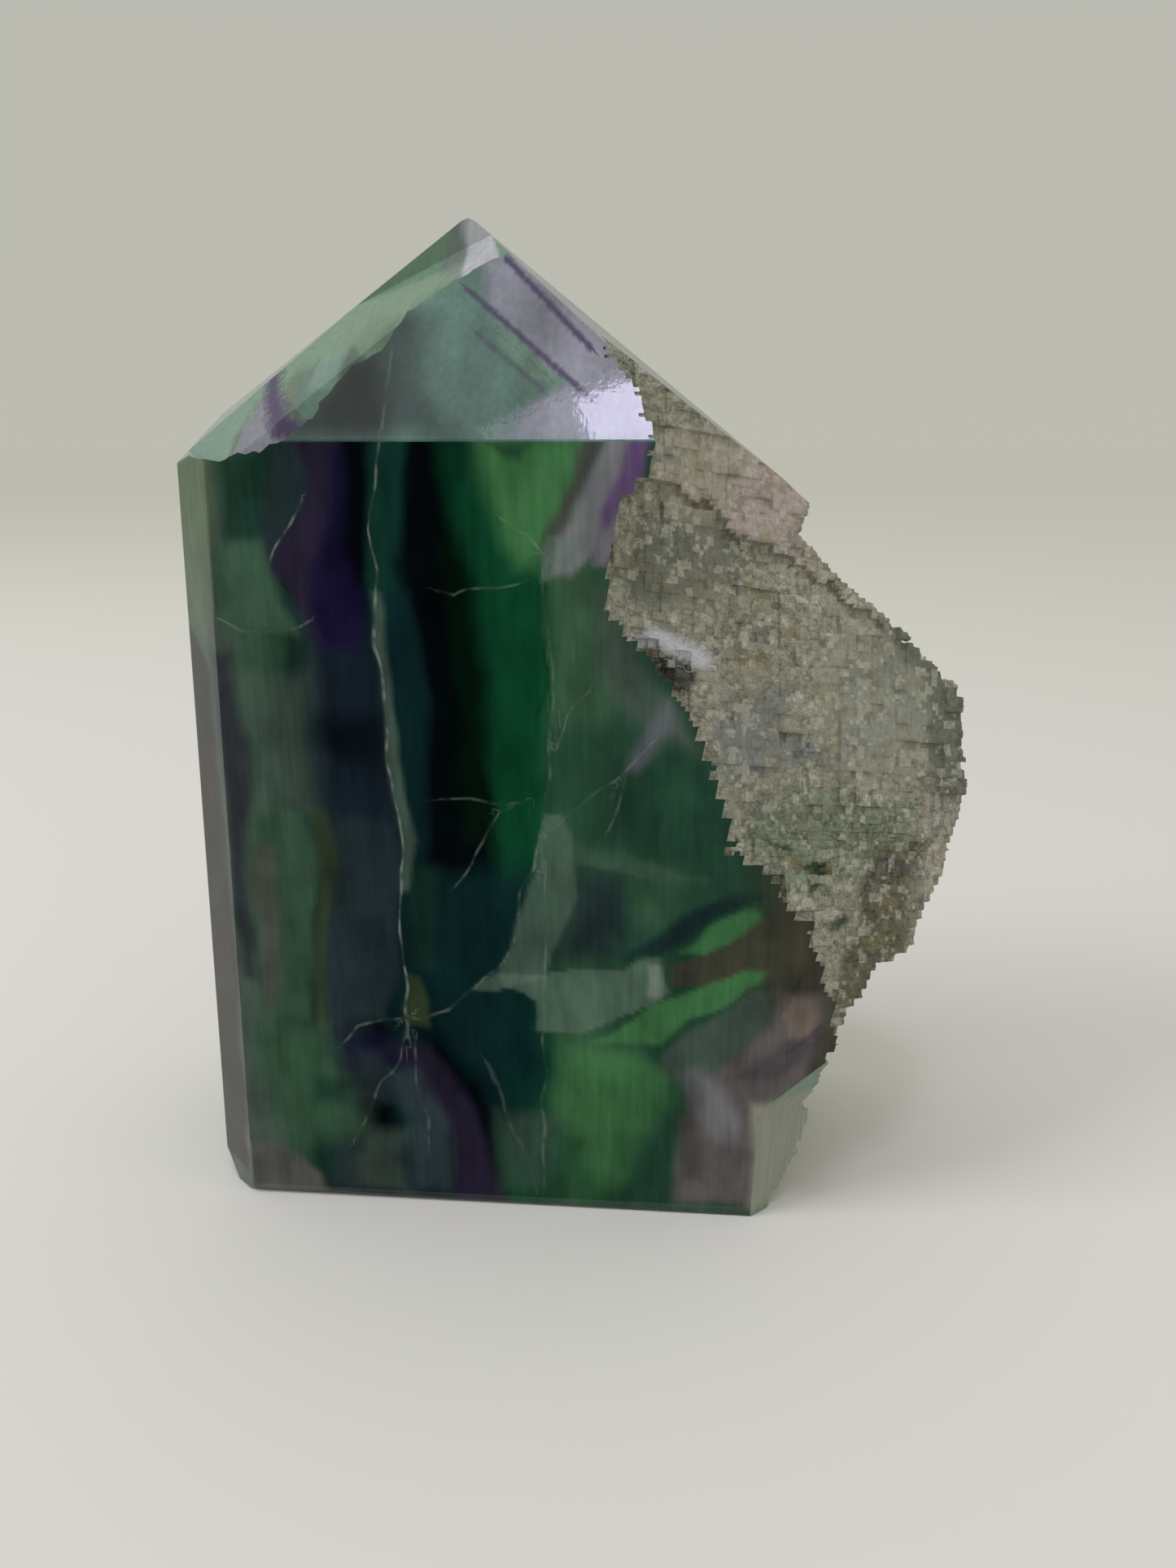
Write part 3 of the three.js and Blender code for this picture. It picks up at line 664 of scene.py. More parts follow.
def broken_facet():
    """What is missing to the left of the ragged edge of the front facet."""
    outline = [*ragged(BROKEN_EDGE), *BROKEN_OUTSIDE]
    prism = bmesh.new()
    face = prism.faces.new([prism.verts.new((x, -EDGE_REACH, z)) for x, z in outline])
    grown = bmesh.ops.extrude_face_region(prism, geom=[face])["geom"]
    bmesh.ops.translate(prism, verts=picked(grown, BMVert), vec=(0, 2 * EDGE_REACH, 0))
    bmesh.ops.translate(prism, verts=prism.verts, vec=(0, EDGE_DEPTH, 0))
    cutter = solid("broken_facet", prism, BROKEN)
    kept = box((-CLEAR, -CLEAR, -CLEAR), (CLEAR, CLEAR, CLEAR))
    for facet in (LOW_FACET, HIGH_FACET, APEX_FACET):
        slice_off(kept, facet[0], upward_normal(*facet))
    cut(cutter, solid("kept", kept, BROKEN))
    return cutter


def broken_foot():
    """What is missing at the foot of the front face, on the right."""
    bm = box((-CLEAR, -CLEAR, -CLEAR), (CLEAR, CLEAR, CLEAR))
    for point, outward in (LOWER_BREAK, UPPER_BREAK):
        slice_off(bm, point, [-value for value in outward])
    return solid("broken_foot", bm, BROKEN)


# ---- the natural side ---------------------------------------------------------

def crystal_frame():
    """Carries the crystal's directions (across, up, out) to the slab's own."""
    tilt, rake, turn = (math.radians(angle) for angle in (FACE_TILT, FACE_RAKE, FACE_TURN))
    out = Vector((
        math.sin(tilt) * math.cos(rake), -math.cos(tilt) * math.cos(rake), math.sin(rake),
    ))
    level = Vector((math.cos(tilt), math.sin(tilt), 0))
    across = Matrix.Rotation(-turn, 3, out) @ level
    up = out.cross(across)
    basis = Matrix((across, up, out)).transposed().to_4x4()
    return basis @ Matrix.Translation((0, 0, FACE_REACH))


def chance(i, j, k):
    """A fixed pseudo-random number from 0 to 1 for a cell."""
    bits = (i * 374761393) ^ (j * 668265263) ^ (k * 1274126177)
    bits &= 0xFFFFFFFF
    bits = ((bits ^ (bits >> 13)) * 1274126177) & 0xFFFFFFFF
    return (bits ^ (bits >> 16)) / 0xFFFFFFFF


def along(line, position):
    """Reads a line of (position, value) points at a position between them."""
    if position <= line[0][0]:
        return line[0][1]
    for (low, low_value), (high, high_value) in zip(line, line[1:]):
        if position < high:
            return low_value + (high_value - low_value) * (position - low) / (high - low)
    return line[-1][1]


def eased(value, low, high):
    """How far a value is from low to high, from 0 to 1 with soft ends."""
    part = min(max((value - low) / (high - low), 0), 1)
    return part * part * (3 - 2 * part)


def wander(x, y, layer, drift):
    """A slow, smooth drift that keeps natural edges from running straight."""
    size, reach = drift
    return reach * noise.fractal((x / size, y / size, layer), 0.8, 2.0, 3)


def face_form(across, up):
    """Large forms of the natural face: how far out it stands at a place on it."""
    across += wander(across, up, 1.5, FORM_DRIFT)
    up += wander(across, up, 2.5, FORM_DRIFT)
    upper = up > LEDGE["up"] - LEDGE["fall"] * (across - LEDGE["across"])
    form = LEDGE["stand"] if upper else LEDGE["stand"] - LEDGE["drop"]
    form += wander(across, up, 3.5, SWELL)
    if not upper and up < PLATE["low"]:
        form += LEDGE["low_return"]
    on_plate = eased(across - PLATE["from"], -2 * PLATE["soft"], 2 * PLATE["soft"])
    on_plate *= eased(up - PLATE["low"], -PLATE["soft"], PLATE["soft"])
    on_plate *= eased(PLATE["high"] - up, -PLATE["soft"], PLATE["soft"])
    form += on_plate * (PLATE["rise"] - PLATE["fall"] * (across - PLATE["from"]))
    from_pit = math.hypot(across - PIT["across"], up - PIT["up"]) / PIT["radius"]
    if from_pit < 1:
        form -= PIT["depth"] * (1 - from_pit * from_pit)
    return form


def side_form(out, up):
    """Large forms of the side behind the rim: how far across it reaches."""
    low = min(max((FOOT_TOP - up) / FOOT_TOP, 0), FLARE_LIMIT)
    drift = min(wander(out, up, 6.5, RIM_DRIFT), RIM_OVERHANG)
    return along(RIM, up) + drift - RIM_SETBACK + FOOT_FLARE * low * max(0, -out)


def leaf(x, y, seed):
    """The blocks of the mosaic that hold a point, from the largest to the one left whole."""
    side = BLOCK
    chain = [(math.floor(x / side), math.floor(y / side))]
    for level, odds in enumerate(SPLIT_CHANCE):
        i, j = chain[-1]
        if chance(i + 7 * level, j - 5 * level, seed) > odds:
            break
        side /= 2
        chain.append((math.floor(x / side), math.floor(y / side)))
    return chain, side


def cell_plane(x, y, form_at, seeds):
    """Height and slopes of the cell at a point, as a function of a place on it."""
    chain, side = leaf(x, y, seeds[0])
    grain = min(side, FORM_BLOCK)
    height = form_at(*((math.floor(value / grain) + 0.5) * grain for value in (x, y)))
    for (i, j), reach, seed in zip(chain, RELIEF, RELIEF_SEEDS):
        height += reach * (chance(i, j, seeds[1] + seed) - 0.5)
    height = CELL_STEP * round(height / CELL_STEP)
    i, j = chain[-1]
    slope_x, slope_y = (CELL_TILT * (chance(i, j, seed) - 0.5) for seed in TILT_SEEDS)
    middle_x, middle_y = (i + 0.5) * side, (j + 0.5) * side
    return lambda u, v: height + slope_x * (u - middle_x) + slope_y * (v - middle_y)


def closed_above(bm):
    """Closes a sheet with walls and a lid far above it."""
    border = [edge for edge in bm.edges if edge.is_boundary]
    walls = bmesh.ops.extrude_edge_only(bm, edges=border)["geom"]
    for vert in picked(walls, BMVert):
        vert.co.z = 2 * CLEAR
    rim = [edge for edge in picked(walls, BMEdge) if edge.is_boundary]
    bmesh.ops.edgeloop_fill(bm, edges=rim)


def stepped_sheet(low, high, cell, height_at):
    """A closed solid over a rectangle, whose underside is a field of small square steps."""
    columns, rows = (round((high[axis] - low[axis]) / cell) for axis in (0, 1))
    bm = bmesh.new()
    bmesh.ops.create_grid(bm, x_segments=2 * columns - 1, y_segments=2 * rows - 1, size=1)
    cells = {}
    for vert in bm.verts:
        u = round((vert.co.x + 1) / 2 * (2 * columns - 1))
        v = round((vert.co.y + 1) / 2 * (2 * rows - 1))
        column, row = u // 2, v // 2
        if (column, row) not in cells:
            middle = (low[0] + (column + 0.5) * cell, low[1] + (row + 0.5) * cell)
            cells[column, row] = height_at(*middle)
        inset = GROOVE / 2
        x = low[0] + column * cell + (cell - inset if u % 2 else inset)
        y = low[1] + row * cell + (cell - inset if v % 2 else inset)
        shift = noise.noise_vector((x * JITTER_WAVE, y * JITTER_WAVE, 9.5)) * JITTER * cell
        vert.co = (x + shift.x, y + shift.y, cells[column, row](x, y))
    closed_above(bm)
    return bm


def uncut(_x, _y):
    """The height of a cell that leaves the crystal alone."""
    return CLEAR


def open_side(_x, _y):
    """The height of a cell past the rim, where nothing of the blank stays."""
    return -1.0


def broken_up(across, up):
    """The size and the middle of the block that breaks off around a place, whole or in quarters."""
    side = EDGE_BLOCK if up < LEDGE["up"] else CELL
    while side > CELL:
        if chance(math.floor(across / side), math.floor(up / side), EDGE_SEEDS[0]) >= EDGE_SPLIT:
            break
        side /= 2
    return side, *((math.floor(value / side) + 0.5) * side for value in (across, up))


def in_front_of_face():
    """What is missing in front of the natural face."""
    def height_at(across, up):
        size, edge, level = broken_up(across, up)
        loose = EDGE_LOOSE * size * (chance(round(edge * 8), round(level * 8), EDGE_SEEDS[1]) - 0.5)
        if edge < along(POLISH_EDGE, level) + wander(edge, level, 4.5, EDGE_DRIFT) + loose:
            return uncut
        if across > along(RIM, up) + RIM_MARGIN and up < RIM_TOP:
            return open_side
        return cell_plane(across, up, face_form, FACE_SEEDS)
    return stepped_sheet(FACE_LOW, FACE_HIGH, CELL, height_at)


def past_the_rim():
    """What is missing to the right of the rim, turned from (out, up, across)."""
    def height_at(out, up):
        if out > RIM_FRONT and up > PLATE["low"]:
            return uncut
        return cell_plane(out, up, side_form, SIDE_SEEDS)
    bm = stepped_sheet(SIDE_LOW, SIDE_HIGH, 2 * CELL, height_at)
    swap = Matrix(((0, 0, 1, 0), (0, 1, 0, 0), (1, 0, 0, 0), (0, 0, 0, 1)))
    bmesh.ops.transform(bm, matrix=swap, verts=bm.verts)
    return bm


# ---- the colouring ------------------------------------------------------------

def mixed(below, above, share):
    """One colour laid over another."""
    return [low + (high - low) * share for low, high in zip(below, above)]


def drifted(x, z, reaches):
    """A place in the front view, moved a little as growth wanders, more across than up."""
    for size, reach in reaches:
        shift = noise.noise_vector((x / size, z / size / DRIFT_STRETCH, 3.5)) * reach
        x, z = x + shift.x, z + DRIFT_RISE * shift.y
    return x, z


def edges_of(marks):
    """The markings, each with its left and its right edge as a line."""
    return [
        (name, strength, softness * SPREAD, [row[:2] for row in rows], [row[::2] for row in rows])
        for name, strength, softness, rows in marks.values()
    ]


def marked(colour, marks, x, z, colours):
    """Lays the markings at a place over a colour, in order."""
    for name, strength, softness, left_edge, right_edge in marks:
        low, high = left_edge[0][0], left_edge[-1][0]
        if not low - softness < z < high + softness:
            continue
        left, right = along(left_edge, z), along(right_edge, z)
        if left - softness < x < right + softness:
            beside = max(left - x, x - right, (left - right) / 2)
            inside = min(-beside, z - low, high - z)
            share = strength * eased(inside, -softness / 2, softness / 2)
            colour = mixed(colour, colours[name], share)
    return colour


def lines_of(veins):
    """The stretches of the veins, each with the vein it belongs to."""
    lines = []
    for name, strength, width, points in veins.values():
        spots = [Vector(point) for point in points]
        lines += [(start, end, name, strength, width) for start, end in zip(spots, spots[1:])]
    return lines


def nearest_vein(lines, x, z, colours):
    """How many half widths a place is to the side of the nearest vein, and the vein's colour."""
    place, nearest, found = Vector((x, z)), VEIN_REACH, NO_VEIN
    patch = noise.fractal((x / VEIN_PATCH[0], z / VEIN_PATCH[1], 8.5), 0.6, 2.0, 2)
    patchy = 0.1 + 0.9 * eased(patch, -0.3, 0.5)
    for start, end, name, strength, width in lines:
        if not min(start.y, end.y) - nearest < z < max(start.y, end.y) + nearest:
            continue
        if not min(start.x, end.x) - nearest < x < max(start.x, end.x) + nearest:
            continue
        _, part = geometry.intersect_point_line(place, start, end)
        away = (place - start.lerp(end, min(max(part, 0), 1))).length
        if away < nearest:
            nearest = away
            side = math.copysign(1, (end - start).cross(place - start))
            strength *= 1 - eased(away, width / 2 + FRONT_NET, width / 2 + 2 * FRONT_NET)
            strength *= VEIN_SHOW * (patchy if width < THIN_VEIN else 1)
            found = (side * away / (width / 2), (*colours[name][:3], strength))
    return found


def growth_tone(x, colours):
    """Colour of the growth band at a distance from the left end."""
    for (start, name), (end, other) in zip(BANDS, BANDS[1:]):
        if x < end:
            return mixed(colours[name], colours[other], min(max((x - start) / (end - start), 0), 1))
    return colours[BANDS[-1][1]]


def stone_tone(x, z, edges, colours):
    """Colour of the natural face at a place."""
    x, z = drifted(x, z, STONE_DRIFT)
    stone = marked(colours["stone"], edges["stone"], x, z, colours)
    ochre = eased(noise.fractal((x / OCHRE_SIZE, z / OCHRE_SIZE, 31), 0.7, 2.0, 3), 0.15, 0.6)
    return mixed(stone, colours["ochre"], OCHRE_DEPTH * ochre)


def cell_tone(colour, across, up, steep, colours):
    """Colour of one cell of the natural face: some cells are paler, some darker."""
    tone, share = EDGE_TONE
    beside_polish = 1 - eased(across - along(POLISH_EDGE, up), 0, EDGE_PALE)
    colour = mixed(colour, colours[tone], share * beside_polish)
    patch = eased(noise.noise((across / TONE_PATCH, up / TONE_PATCH, 7)), -0.25, 0.25)
    for size, name, often, strength in CELL_TONES:
        i, j = math.floor(across / size), math.floor(up / size)
        if chance(i, j, round(size * 100) + len(name)) < often * (0.3 + patch):
            colour = mixed(colour, colours[name], strength)
    tone, share = STEEP_TONE
    return mixed(colour, colours[tone], share * steep)


def polished_tone(x, z, top, side, edges, colours):
    """Colour inside the polished stone, under its front or on its sloping top."""
    colour = colours["sea"] if top else growth_tone(x, colours)
    colour = marked(colour, edges["top" if top else "body"], x, z, colours)
    if not top and side == "front":
        colour = marked(colour, edges["veils"], x, z, colours)
    if side == "end":
        tone, share = END_TONE
        colour = mixed(colour, colours[tone], share)
    cloud = noise.fractal((x / CLOUD_SIZE[0], z / CLOUD_SIZE[1], 5.5), 0.9, 2.0, 4)
    return [value * (1 + CLOUD_DEPTH * cloud) for value in colour]


def point_look(x, z, kind, side, tables, colours):
    """Colour at a place on one kind of surface, and how it lies to the nearest vein there."""
    edges, lines = tables
    near = drifted(x, z, TONE_DRIFT)
    if kind == "stone":
        colour = stone_tone(x, z, edges, colours)
    elif kind == "break":
        colour = marked(colours["mint"], edges["break"], *near, colours)
    else:
        colour = polished_tone(*near, kind == "top", side, edges, colours)
    if side != "front":
        return colour, NO_VEIN
    place = (x, z) if kind == "top" else near
    return colour, nearest_vein(lines[kind], *place, colours)


def surface_of(face):
    """The kind of surface that a face belongs to, and the side of the slab it is on."""
    kind = {POLISHED: "body", NATURAL: "stone", BROKEN: "break"}[face.material_index]
    if kind == "body" and face.normal.z > TOP_UP:
        kind = "top"
    if face.normal.x < -END_LEFT:
        return kind, "end"
    return kind, "behind" if face.calc_center_median().y > MIDDLE else "front"


def smoothness(place, patches):
    """How smooth the natural face is at a place, from 0 to 1."""
    return marked((0.0,), patches, place.x, place.z, {"all": (1.0,)})[0]


def coloured(bm, colours):
    """Writes the colouring, see-through share, gloss and veins of every face to the mesh."""
    tone, vein_tone = (bm.loops.layers.float_color.new(name) for name in ("tone", "vein_tone"))
    vein = bm.loops.layers.float.new("vein")
    natural, gloss = (bm.faces.layers.float.new(name) for name in ("natural", "gloss"))
    edges = {kind: edges_of(marks) for kind, marks in MARK_TABLES.items()}
    lines = {kind: lines_of(veins) for kind, veins in VEIN_TABLES.items()}
    to_cells = crystal_frame().inverted()
    out = to_cells.to_3x3()[2]
    known = {}
    for face in bm.faces:
        kind, side = surface_of(face)
        face[gloss] = GLOSS[kind]
        if kind == "stone":
            middle = face.calc_center_median()
            across, up, _ = to_cells @ middle
            steep = 1 - eased(face.normal @ out, *STEEP)
            face[natural] = 1 - smoothness(middle, edges["smooth"])
        for loop in face.loops:
            key = (loop.vert.index, kind, side)
            if key not in known:
                x, _, z = loop.vert.co
                known[key] = point_look(x, z, kind, side, (edges, lines), colours)
            colour, (loop[vein], loop[vein_tone]) = known[key]
            if kind == "stone":
                colour = cell_tone(colour, across, up, steep, colours)
            loop[tone] = (*colour[:3], THROUGH[kind])


# ---- the finished crystal -----------------------------------------------------

def keep_largest(bm):
    """Removes the loose crumbs that the cuts leave beside the crystal."""
    bm.verts.ensure_lookup_table()
    left = set(bm.verts)
    islands = []
    while left:
        island, front = set(), [left.pop()]
        while front:
            vert = front.pop()
            island.add(vert)
            for edge in vert.link_edges:
                other = edge.other_vert(vert)
                if other in left:
                    left.discard(other)
                    front.append(other)
        islands.append(island)
    for island in sorted(islands, key=len)[:-1]:
        bmesh.ops.delete(bm, geom=list(island), context="VERTS")


def sliced(bm, faces, axis, low, high, size):
    """Slices faces across one axis into strips no wider than a size."""
    if high - low <= size or not faces:
        return faces
    middle = (low + high) / 2
    normal = [float(axis == other) for other in range(3)]
    parts = {part for face in faces for part in (*face.verts, *face.edges)}
    result = bmesh.ops.bisect_plane(
        bm, geom=[*parts, *faces], dist=1e-4, plane_co=[middle * value for value in normal],
        plane_no=normal,
    )
    halves = ([], [])
    for face in picked(result["geom"], BMFace):
        halves[face.calc_center_median()[axis] > middle].append(face)
    return [
        *sliced(bm, halves[0], axis, low, middle, size),
        *sliced(bm, halves[1], axis, middle, high, size),
    ]


def netted(body):
    """Divides the polished and broken faces into a fine net, which carries their colouring."""
    bm = bmesh.new()
    bm.from_mesh(body.data)
    for back, size in ((False, FRONT_NET), (True, BACK_NET)):
        faces = [face for face in bm.faces if (face.calc_center_median().y > THICKNESS - 1) == back]
        for axis in (0, 2):
            faces = sliced(bm, faces, axis, BLANK_LOW[axis], BLANK_HIGH[axis], size)
    bm.to_mesh(body.data)
    bm.free()


def weathered(bm):
    """Rounds and crumbles the steps of the natural side."""
    inner = [
        vert for vert in bm.verts if all(face.material_index == NATURAL for face in vert.link_faces)
    ]
    for _ in range(WEATHERINGS):
        bmesh.ops.smooth_vert(
            bm, verts=inner, factor=0.5, use_axis_x=True, use_axis_y=True, use_axis_z=True,
        )
    for vert in inner:
        vert.co += noise.noise_vector(vert.co / CRUMB_SIZE) * CRUMB_REACH


def crystal(polish_radius, colours):
    """The whole crystal as one closed mesh, in metres in the shared frame."""
    noise.seed_set(NOISE_SEED)
    body = sawn_blank(polish_radius)
    cut(body, broken_facet())
    cut(body, broken_foot())
    netted(body)
    for name, sheet in (("face_steps", in_front_of_face()), ("side_steps", past_the_rim())):
        bmesh.ops.transform(sheet, matrix=crystal_frame(), verts=sheet.verts)
        cut(body, solid(name, sheet, NATURAL))
    bm = bmesh.new()
    bm.from_mesh(body.data)
    keep_largest(bm)
    weathered(bm)
    coloured(bm, colours)
    bmesh.ops.transform(bm, matrix=INTO_FRAME, verts=bm.verts)
    # The volume inside needs one material, so attributes tell the surfaces apart.
    for face in bm.faces:
        face.material_index = 0
    bm.to_mesh(body.data)
    bm.free()
    body.name = body.data.name = "crystal_slab"
    return body


# ---- the material -------------------------------------------------------------

def linear(code):
    """The linear colour of an sRGB hex code."""
    parts = [int(code[i:i + 2], 16) / 255 for i in (0, 2, 4)]
    return [part / 12.92 if part <= 0.04045 else ((part + 0.055) / 1.055) ** 2.4 for part in parts]


def add(tree, kind, inputs, **settings):
    """Adds a shader node, sets it up, links or sets its inputs, and gives its outputs."""
    node = tree.nodes.new("ShaderNode" + kind)
    for name, value in settings.items():
        setattr(node, name, value)
    for key, value in inputs.items():
        if isinstance(value, bpy.types.NodeSocket):
            tree.links.new(value, node.inputs[key])
        else:
            node.inputs[key].default_value = value
    return node.outputs


def stone_grain(tree, place, natural):
    """Upright growth lines in the polished stone, round crumbs on the grown side."""
    mix = {0: natural, 4: LINE_SCALE, 5: CRUMB_SCALE}
    scale = add(tree, "Mix", mix, data_type="VECTOR")[1]
    scaled = add(tree, "VectorMath", {0: place, 1: scale}, operation="MULTIPLY")[0]
    return add(tree, "TexNoise", {"Vector": scaled, "Scale": 1.0, "Detail": 2.0})[0]


def little_crystals(tree, place):
    """Little crystals, each with a tone of its own, and painted shade in the gaps between them."""
    turn = crystal_frame().inverted().to_euler()
    turned = add(tree, "Mapping", {"Vector": place, "Rotation": turn})[0]
    cells = {"Vector": turned, "Scale": CRYSTAL_SCALE, "Randomness": CRYSTAL_WAVER}
    crystals = add(tree, "TexVoronoi", cells, distance="CHEBYCHEV")
    draw = add(tree, "SeparateColor", {0: crystals["Color"]})[0]
    low, high = CRYSTAL_SHADE
    own = add(tree, "MapRange", {0: draw, 1: 0.0, 2: 1.0, 3: low, 4: high})[0]
    painted_gap_shade = {0: crystals["Distance"], 1: GAP_START, 2: GAP_END, 3: 0.0, 4: GAP_SHADE}
    painted_gap_shade = add(tree, "MapRange", painted_gap_shade)[0]
    return crystals["Distance"], add(tree, "Math", {0: own, 1: painted_gap_shade}, operation="ADD")[0]


def shaded(tree, tone, natural, noise_value, tone_and_gap_shade):
    """The colouring, paler and darker with the grain and with each little crystal, with painted shade in
    the gaps between them.
    """
    low, high = GRAIN_SHADE
    reach = add(tree, "MapRange", {0: natural, 1: 0.0, 2: 1.0, 3: low, 4: high})[0]
    shade = add(tree, "Math", {0: noise_value, 1: 0.5}, operation="SUBTRACT")[0]
    shade = add(tree, "Math", {0: shade, 1: reach, 2: 1.0}, operation="MULTIPLY_ADD")[0]
    own = {0: tone_and_gap_shade, 1: natural, 2: shade}
    shade = add(tree, "Math", own, operation="MULTIPLY_ADD")[0]
    return add(tree, "VectorMath", {0: tone, "Scale": shade}, operation="SCALE")[0]


def veined(tree, colour, vein, vein_tone, noise_value):
    """Veins with ragged sides, over the colouring."""
    away = add(tree, "Math", {0: vein}, operation="ABSOLUTE")[0]
    ragged_side = {0: noise_value, 1: VEIN_RAGGED, 2: away}
    away = add(tree, "Math", ragged_side, operation="MULTIPLY_ADD")[0]
    on_vein = add(tree, "MapRange", {0: away, 1: VEIN_END, 2: VEIN_FULL, 3: 0.0, 4: 1.0})[0]
    share = {0: on_vein, 1: vein_tone["Alpha"]}
    share = add(tree, "Math", share, operation="MULTIPLY")[0]
    mix = {0: share, 6: colour, 7: vein_tone["Color"]}
    return add(tree, "Mix", mix, data_type="RGBA")[2]


def bumped(tree, natural, noise_value, from_middle):
    """Faint growth lines in the polish, grainy little crystals on the grown side."""
    low, high = GRAIN_BUMP
    strength = add(tree, "MapRange", {0: natural, 1: 0.0, 2: 1.0, 3: low, 4: high})[0]
    grown = {0: from_middle, 1: CRYSTAL_BUMP, 2: noise_value}
    grown = add(tree, "Math", grown, operation="MULTIPLY_ADD")[0]
    height = add(tree, "Mix", {0: natural, 2: noise_value, 3: grown})[0]
    bump = {"Strength": strength, "Distance": BUMP_HEIGHT, "Height": height}
    return add(tree, "Bump", bump)[0]


def fluorite():
    """Natural fluorite, sawn and polished on most faces and left as grown on one side.

    Clear to cloudy, IOR 1.434. Polish gives a sharp, weak reflection; the grown side
    is matt, and the fresh breaks are glassy but uneven.
    """
    material = bpy.data.materials.new("fluorite_polished_and_grown")
    material.use_nodes = True
    tree = material.node_tree
    place = add(tree, "TexCoord", {})["Object"]
    tone, vein_tone, natural, vein, gloss = (
        add(tree, "Attribute", {}, attribute_name=name)
        for name in ("tone", "vein_tone", "natural", "vein", "gloss")
    )
    natural = natural["Fac"]
    noise_value = stone_grain(tree, place, natural)
    from_middle, tone_and_gap_shade = little_crystals(tree, place)
    colour = shaded(tree, tone["Color"], natural, noise_value, tone_and_gap_shade)
    rough = {0: noise_value, 1: GRAIN_GLOSS, 2: gloss["Fac"]}
    looks = {
        "Base Color": veined(tree, colour, vein["Fac"], vein_tone, noise_value),
        "Roughness": add(tree, "Math", rough, operation="MULTIPLY_ADD")[0],
        "Transmission Weight": tone["Alpha"],
        "Normal": bumped(tree, natural, noise_value, from_middle),
    }
    shader = tree.nodes["Principled BSDF"]
    for name, value in looks.items():
        tree.links.new(value, shader.inputs[name])
    shader.inputs["IOR"].default_value = IOR
    clear = {"Color": ABSORPTION_COLOUR, "Density": ABSORPTION}
    absorption = add(tree, "VolumeAbsorption", clear)[0]
    tree.links.new(absorption, tree.nodes["Material Output"].inputs["Volume"])
    return material


# ---- the stage ----------------------------------------------------------------

def plain(name, colour, roughness):
    """A plain matt material for the stage."""
    material = bpy.data.materials.new(name)
    material.use_nodes = True
    shader = material.node_tree.nodes["Principled BSDF"]
    shader.inputs["Base Color"].default_value = (*colour, 1)
    shader.inputs["Roughness"].default_value = roughness
    shader.inputs["Specular IOR Level"].default_value = 0.0
    return material


def floor():
    """A pale floor that reaches far past the slab on every side."""
    bm = bmesh.new()
    bmesh.ops.create_grid(bm, x_segments=1, y_segments=1, size=FLOOR_SIZE / 2)
    return bm


def stage_piece(name, bm, material):
    """An object of the stage, which isn't part of the slab."""
    piece = meshed(name, bm)
    piece.data.materials.append(material)
    return piece


def dark_room():
    """The dark room in front of the slab: only the polished faces reflect it."""
    bm = bmesh.new()
    near = [bm.verts.new((side * DARK_SIZE / 2, DARK_START, DARK_LIFT)) for side in (-1, 1)]
    edge = bm.edges.new(near)
    for step in ((0, -DARK_DEPTH, 0), (0, 0, DARK_HEIGHT)):
        far = picked(bmesh.ops.extrude_edge_only(bm, edges=[edge])["geom"], BMVert)
        bmesh.ops.translate(bm, verts=far, vec=step)
        edge = bm.edges.get(far)
    room = stage_piece("dark_room", bm, plain("black_cloth", linear(DARK_COLOUR), 0.9))
    for rays in ("camera", "diffuse", "transmission", "shadow", "volume_scatter"):
        setattr(room, "visible_" + rays, False)


def studio(brightness):
    """Soft light from all round: even near the horizon, brighter overhead."""
    world = bpy.data.worlds.new("studio")
    world.use_nodes = True
    tree = world.node_tree
    height = add(tree, "SeparateXYZ", {0: add(tree, "TexCoord", {})["Generated"]})[2]
    ramp = add(tree, "ValToRGB", {0: height})[0]
    stops = ramp.node.color_ramp.elements
    for stop, (at, code) in zip((stops[0], stops.new(SKY[1][0]), stops[-1]), SKY):
        stop.position, stop.color = at, (*linear(code), 1)
    background = tree.nodes["Background"].inputs
    tree.links.new(ramp, background["Color"])
    background["Strength"].default_value = brightness
    return world


def soft_light(name, place, target, size, power, colour, turn=0):
    """A soft rectangular light that points at a target."""
    lamp = bpy.data.lights.new(name, "AREA")
    lamp.shape = "RECTANGLE"
    lamp.size, lamp.size_y = size
    lamp.energy = power
    lamp.color = colour
    holder = linked(name, lamp)
    holder.location = place
    facing = (Vector(place) - Vector(target)).to_track_quat("Z", "Y").to_matrix()
    holder.rotation_euler = (facing @ Matrix.Rotation(math.radians(turn), 3, "Z")).to_euler()


def camera():
    """The camera at the viewing angle, in front of the slab and a little above it."""
    lens = bpy.data.cameras.new("camera")
    lens.sensor_fit = "VERTICAL"
    lens.sensor_height = SENSOR
    lens.lens = SENSOR * FOCAL_PIXELS / IMAGE_HEIGHT
    lens.clip_start = 0.01
    holder = linked("camera", lens)
    holder.location = INTO_FRAME @ Vector(CAMERA_PLACE)
    holder.rotation_euler = [math.radians(angle) for angle in (90 - CAMERA_DIP, 0, CAMERA_TURN)]
    bpy.context.scene.camera = holder


# ---- settings, operators and panel --------------------------------------------

def colour_property(name):
    """A colour that the user can change, from the palette."""
    label = name.replace("_", " ").capitalize()
    return bpy.props.FloatVectorProperty(
        name=label, description=f"{label} of the fluorite", subtype="COLOR", size=4,
        min=0, max=1, default=(*linear(PALETTE[name]), 1),
    )


class FluoriteColours(bpy.types.PropertyGroup):
    """Colours of the crystal."""
    __annotations__ = {name: colour_property(name) for name in PALETTE}


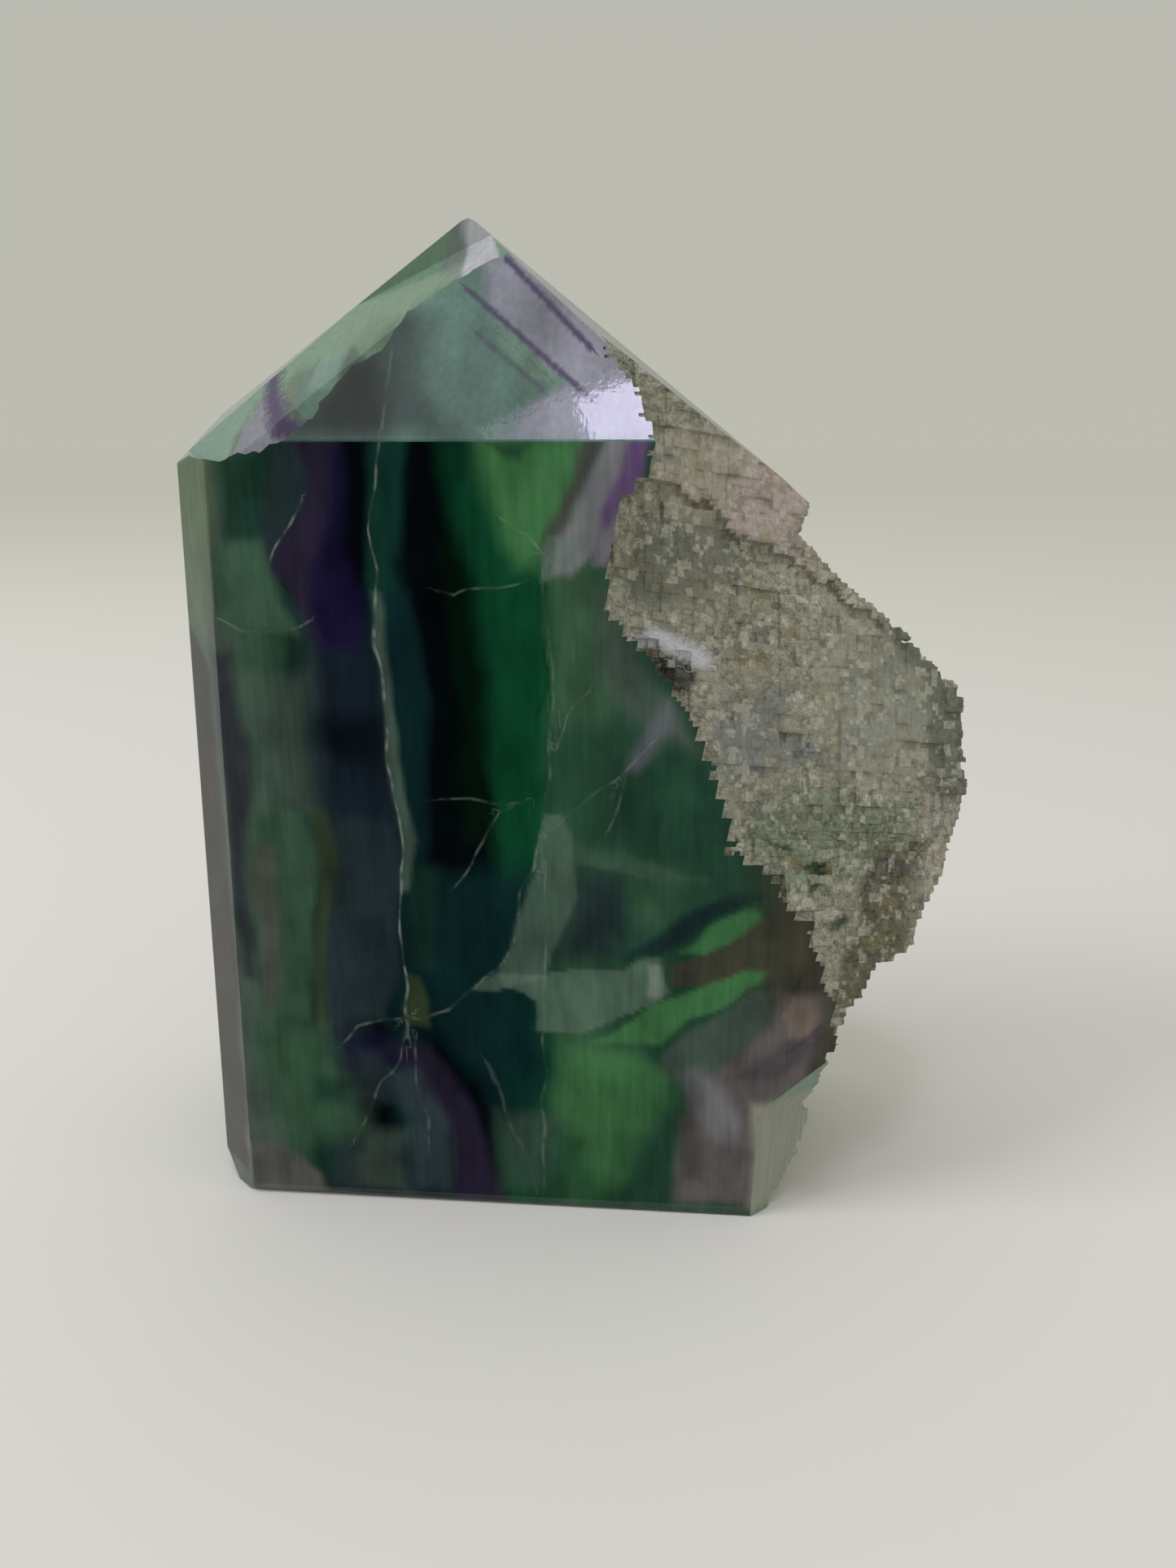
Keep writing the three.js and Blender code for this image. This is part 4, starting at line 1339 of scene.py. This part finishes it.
class FluoriteSizes(bpy.types.PropertyGroup):
    """Sizes of the crystal and brightness of the studio."""
    polish_radius: bpy.props.FloatProperty(
        name="Polish radius", description="Rounding of the polished edges, in mm",
        default=0.3, min=0.05, max=1,
    )
    key_power: bpy.props.FloatProperty(
        name="Key light", description="Power of the main soft light, in W", default=8, min=0,
    )
    top_power: bpy.props.FloatProperty(
        name="Top lights", description="Power of the lights above the slab, in W",
        default=2.4, min=0,
    )
    ambient: bpy.props.FloatProperty(
        name="Ambient", description="Brightness of the light from all round", default=1.0, min=0,
    )


class FLUORITE_OT_crystal(bpy.types.Operator):
    """Builds the fluorite crystal"""
    bl_idname = "fluorite.crystal"
    bl_label = "Crystal"

    def execute(self, context):
        sizes, palette = context.scene.fluorite_sizes, context.scene.fluorite_colours
        tones = {name: tuple(getattr(palette, name)) for name in PALETTE}
        body = crystal(sizes.polish_radius, tones)
        body.data.materials.clear()
        body.data.materials.append(fluorite())
        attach(body, "root")
        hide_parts("fluorite_slab")
        return {"FINISHED"}


class FLUORITE_OT_stage(bpy.types.Operator):
    """Sets up the floor, the dark room, the lights, the sky and the camera"""
    bl_idname = "fluorite.stage"
    bl_label = "Stage"

    def execute(self, context):
        sizes = context.scene.fluorite_sizes
        stage_piece("floor", floor(), plain("pale_card", linear(FLOOR_COLOUR), 0.8))
        dark_room()
        soft_light("key", KEY_PLACE, KEY_TARGET, KEY_SIZE, sizes.key_power, KEY_COLOUR)
        for name, place, size, share in TOP_LIGHTS:
            below, power = (*place[:2], 0), share * sizes.top_power
            soft_light(name, place, below, size, power, TOP_COLOUR, TOP_TURN)
        context.scene.world = studio(sizes.ambient)
        context.scene.view_settings.view_transform = "Standard"
        camera()
        return {"FINISHED"}


class FLUORITE_PT_panel(bpy.types.Panel):
    """Lists the pieces and their settings"""
    bl_idname = "FLUORITE_PT_panel"
    bl_label = "Fluorite Slab"
    bl_space_type = "VIEW_3D"
    bl_region_type = "UI"
    bl_category = "Fluorite"

    def draw(self, context):
        layout = self.layout
        for kind in (FLUORITE_OT_crystal, FLUORITE_OT_stage):
            layout.operator(kind.bl_idname)
        for group in (context.scene.fluorite_sizes, context.scene.fluorite_colours):
            for name in group.__annotations__:
                layout.prop(group, name)


CLASSES = (
    FluoriteColours, FluoriteSizes, FLUORITE_OT_crystal, FLUORITE_OT_stage, FLUORITE_PT_panel,
)


def register():
    for kind in CLASSES:
        bpy.utils.register_class(kind)
    bpy.types.Scene.fluorite_colours = bpy.props.PointerProperty(type=FluoriteColours)
    bpy.types.Scene.fluorite_sizes = bpy.props.PointerProperty(type=FluoriteSizes)


def unregister():
    del bpy.types.Scene.fluorite_colours
    del bpy.types.Scene.fluorite_sizes
    for kind in reversed(CLASSES):
        bpy.utils.unregister_class(kind)


def main():
    register()
    bpy.ops.fluorite.crystal()
    bpy.ops.fluorite.stage()


if __name__ == "__main__":
    main()
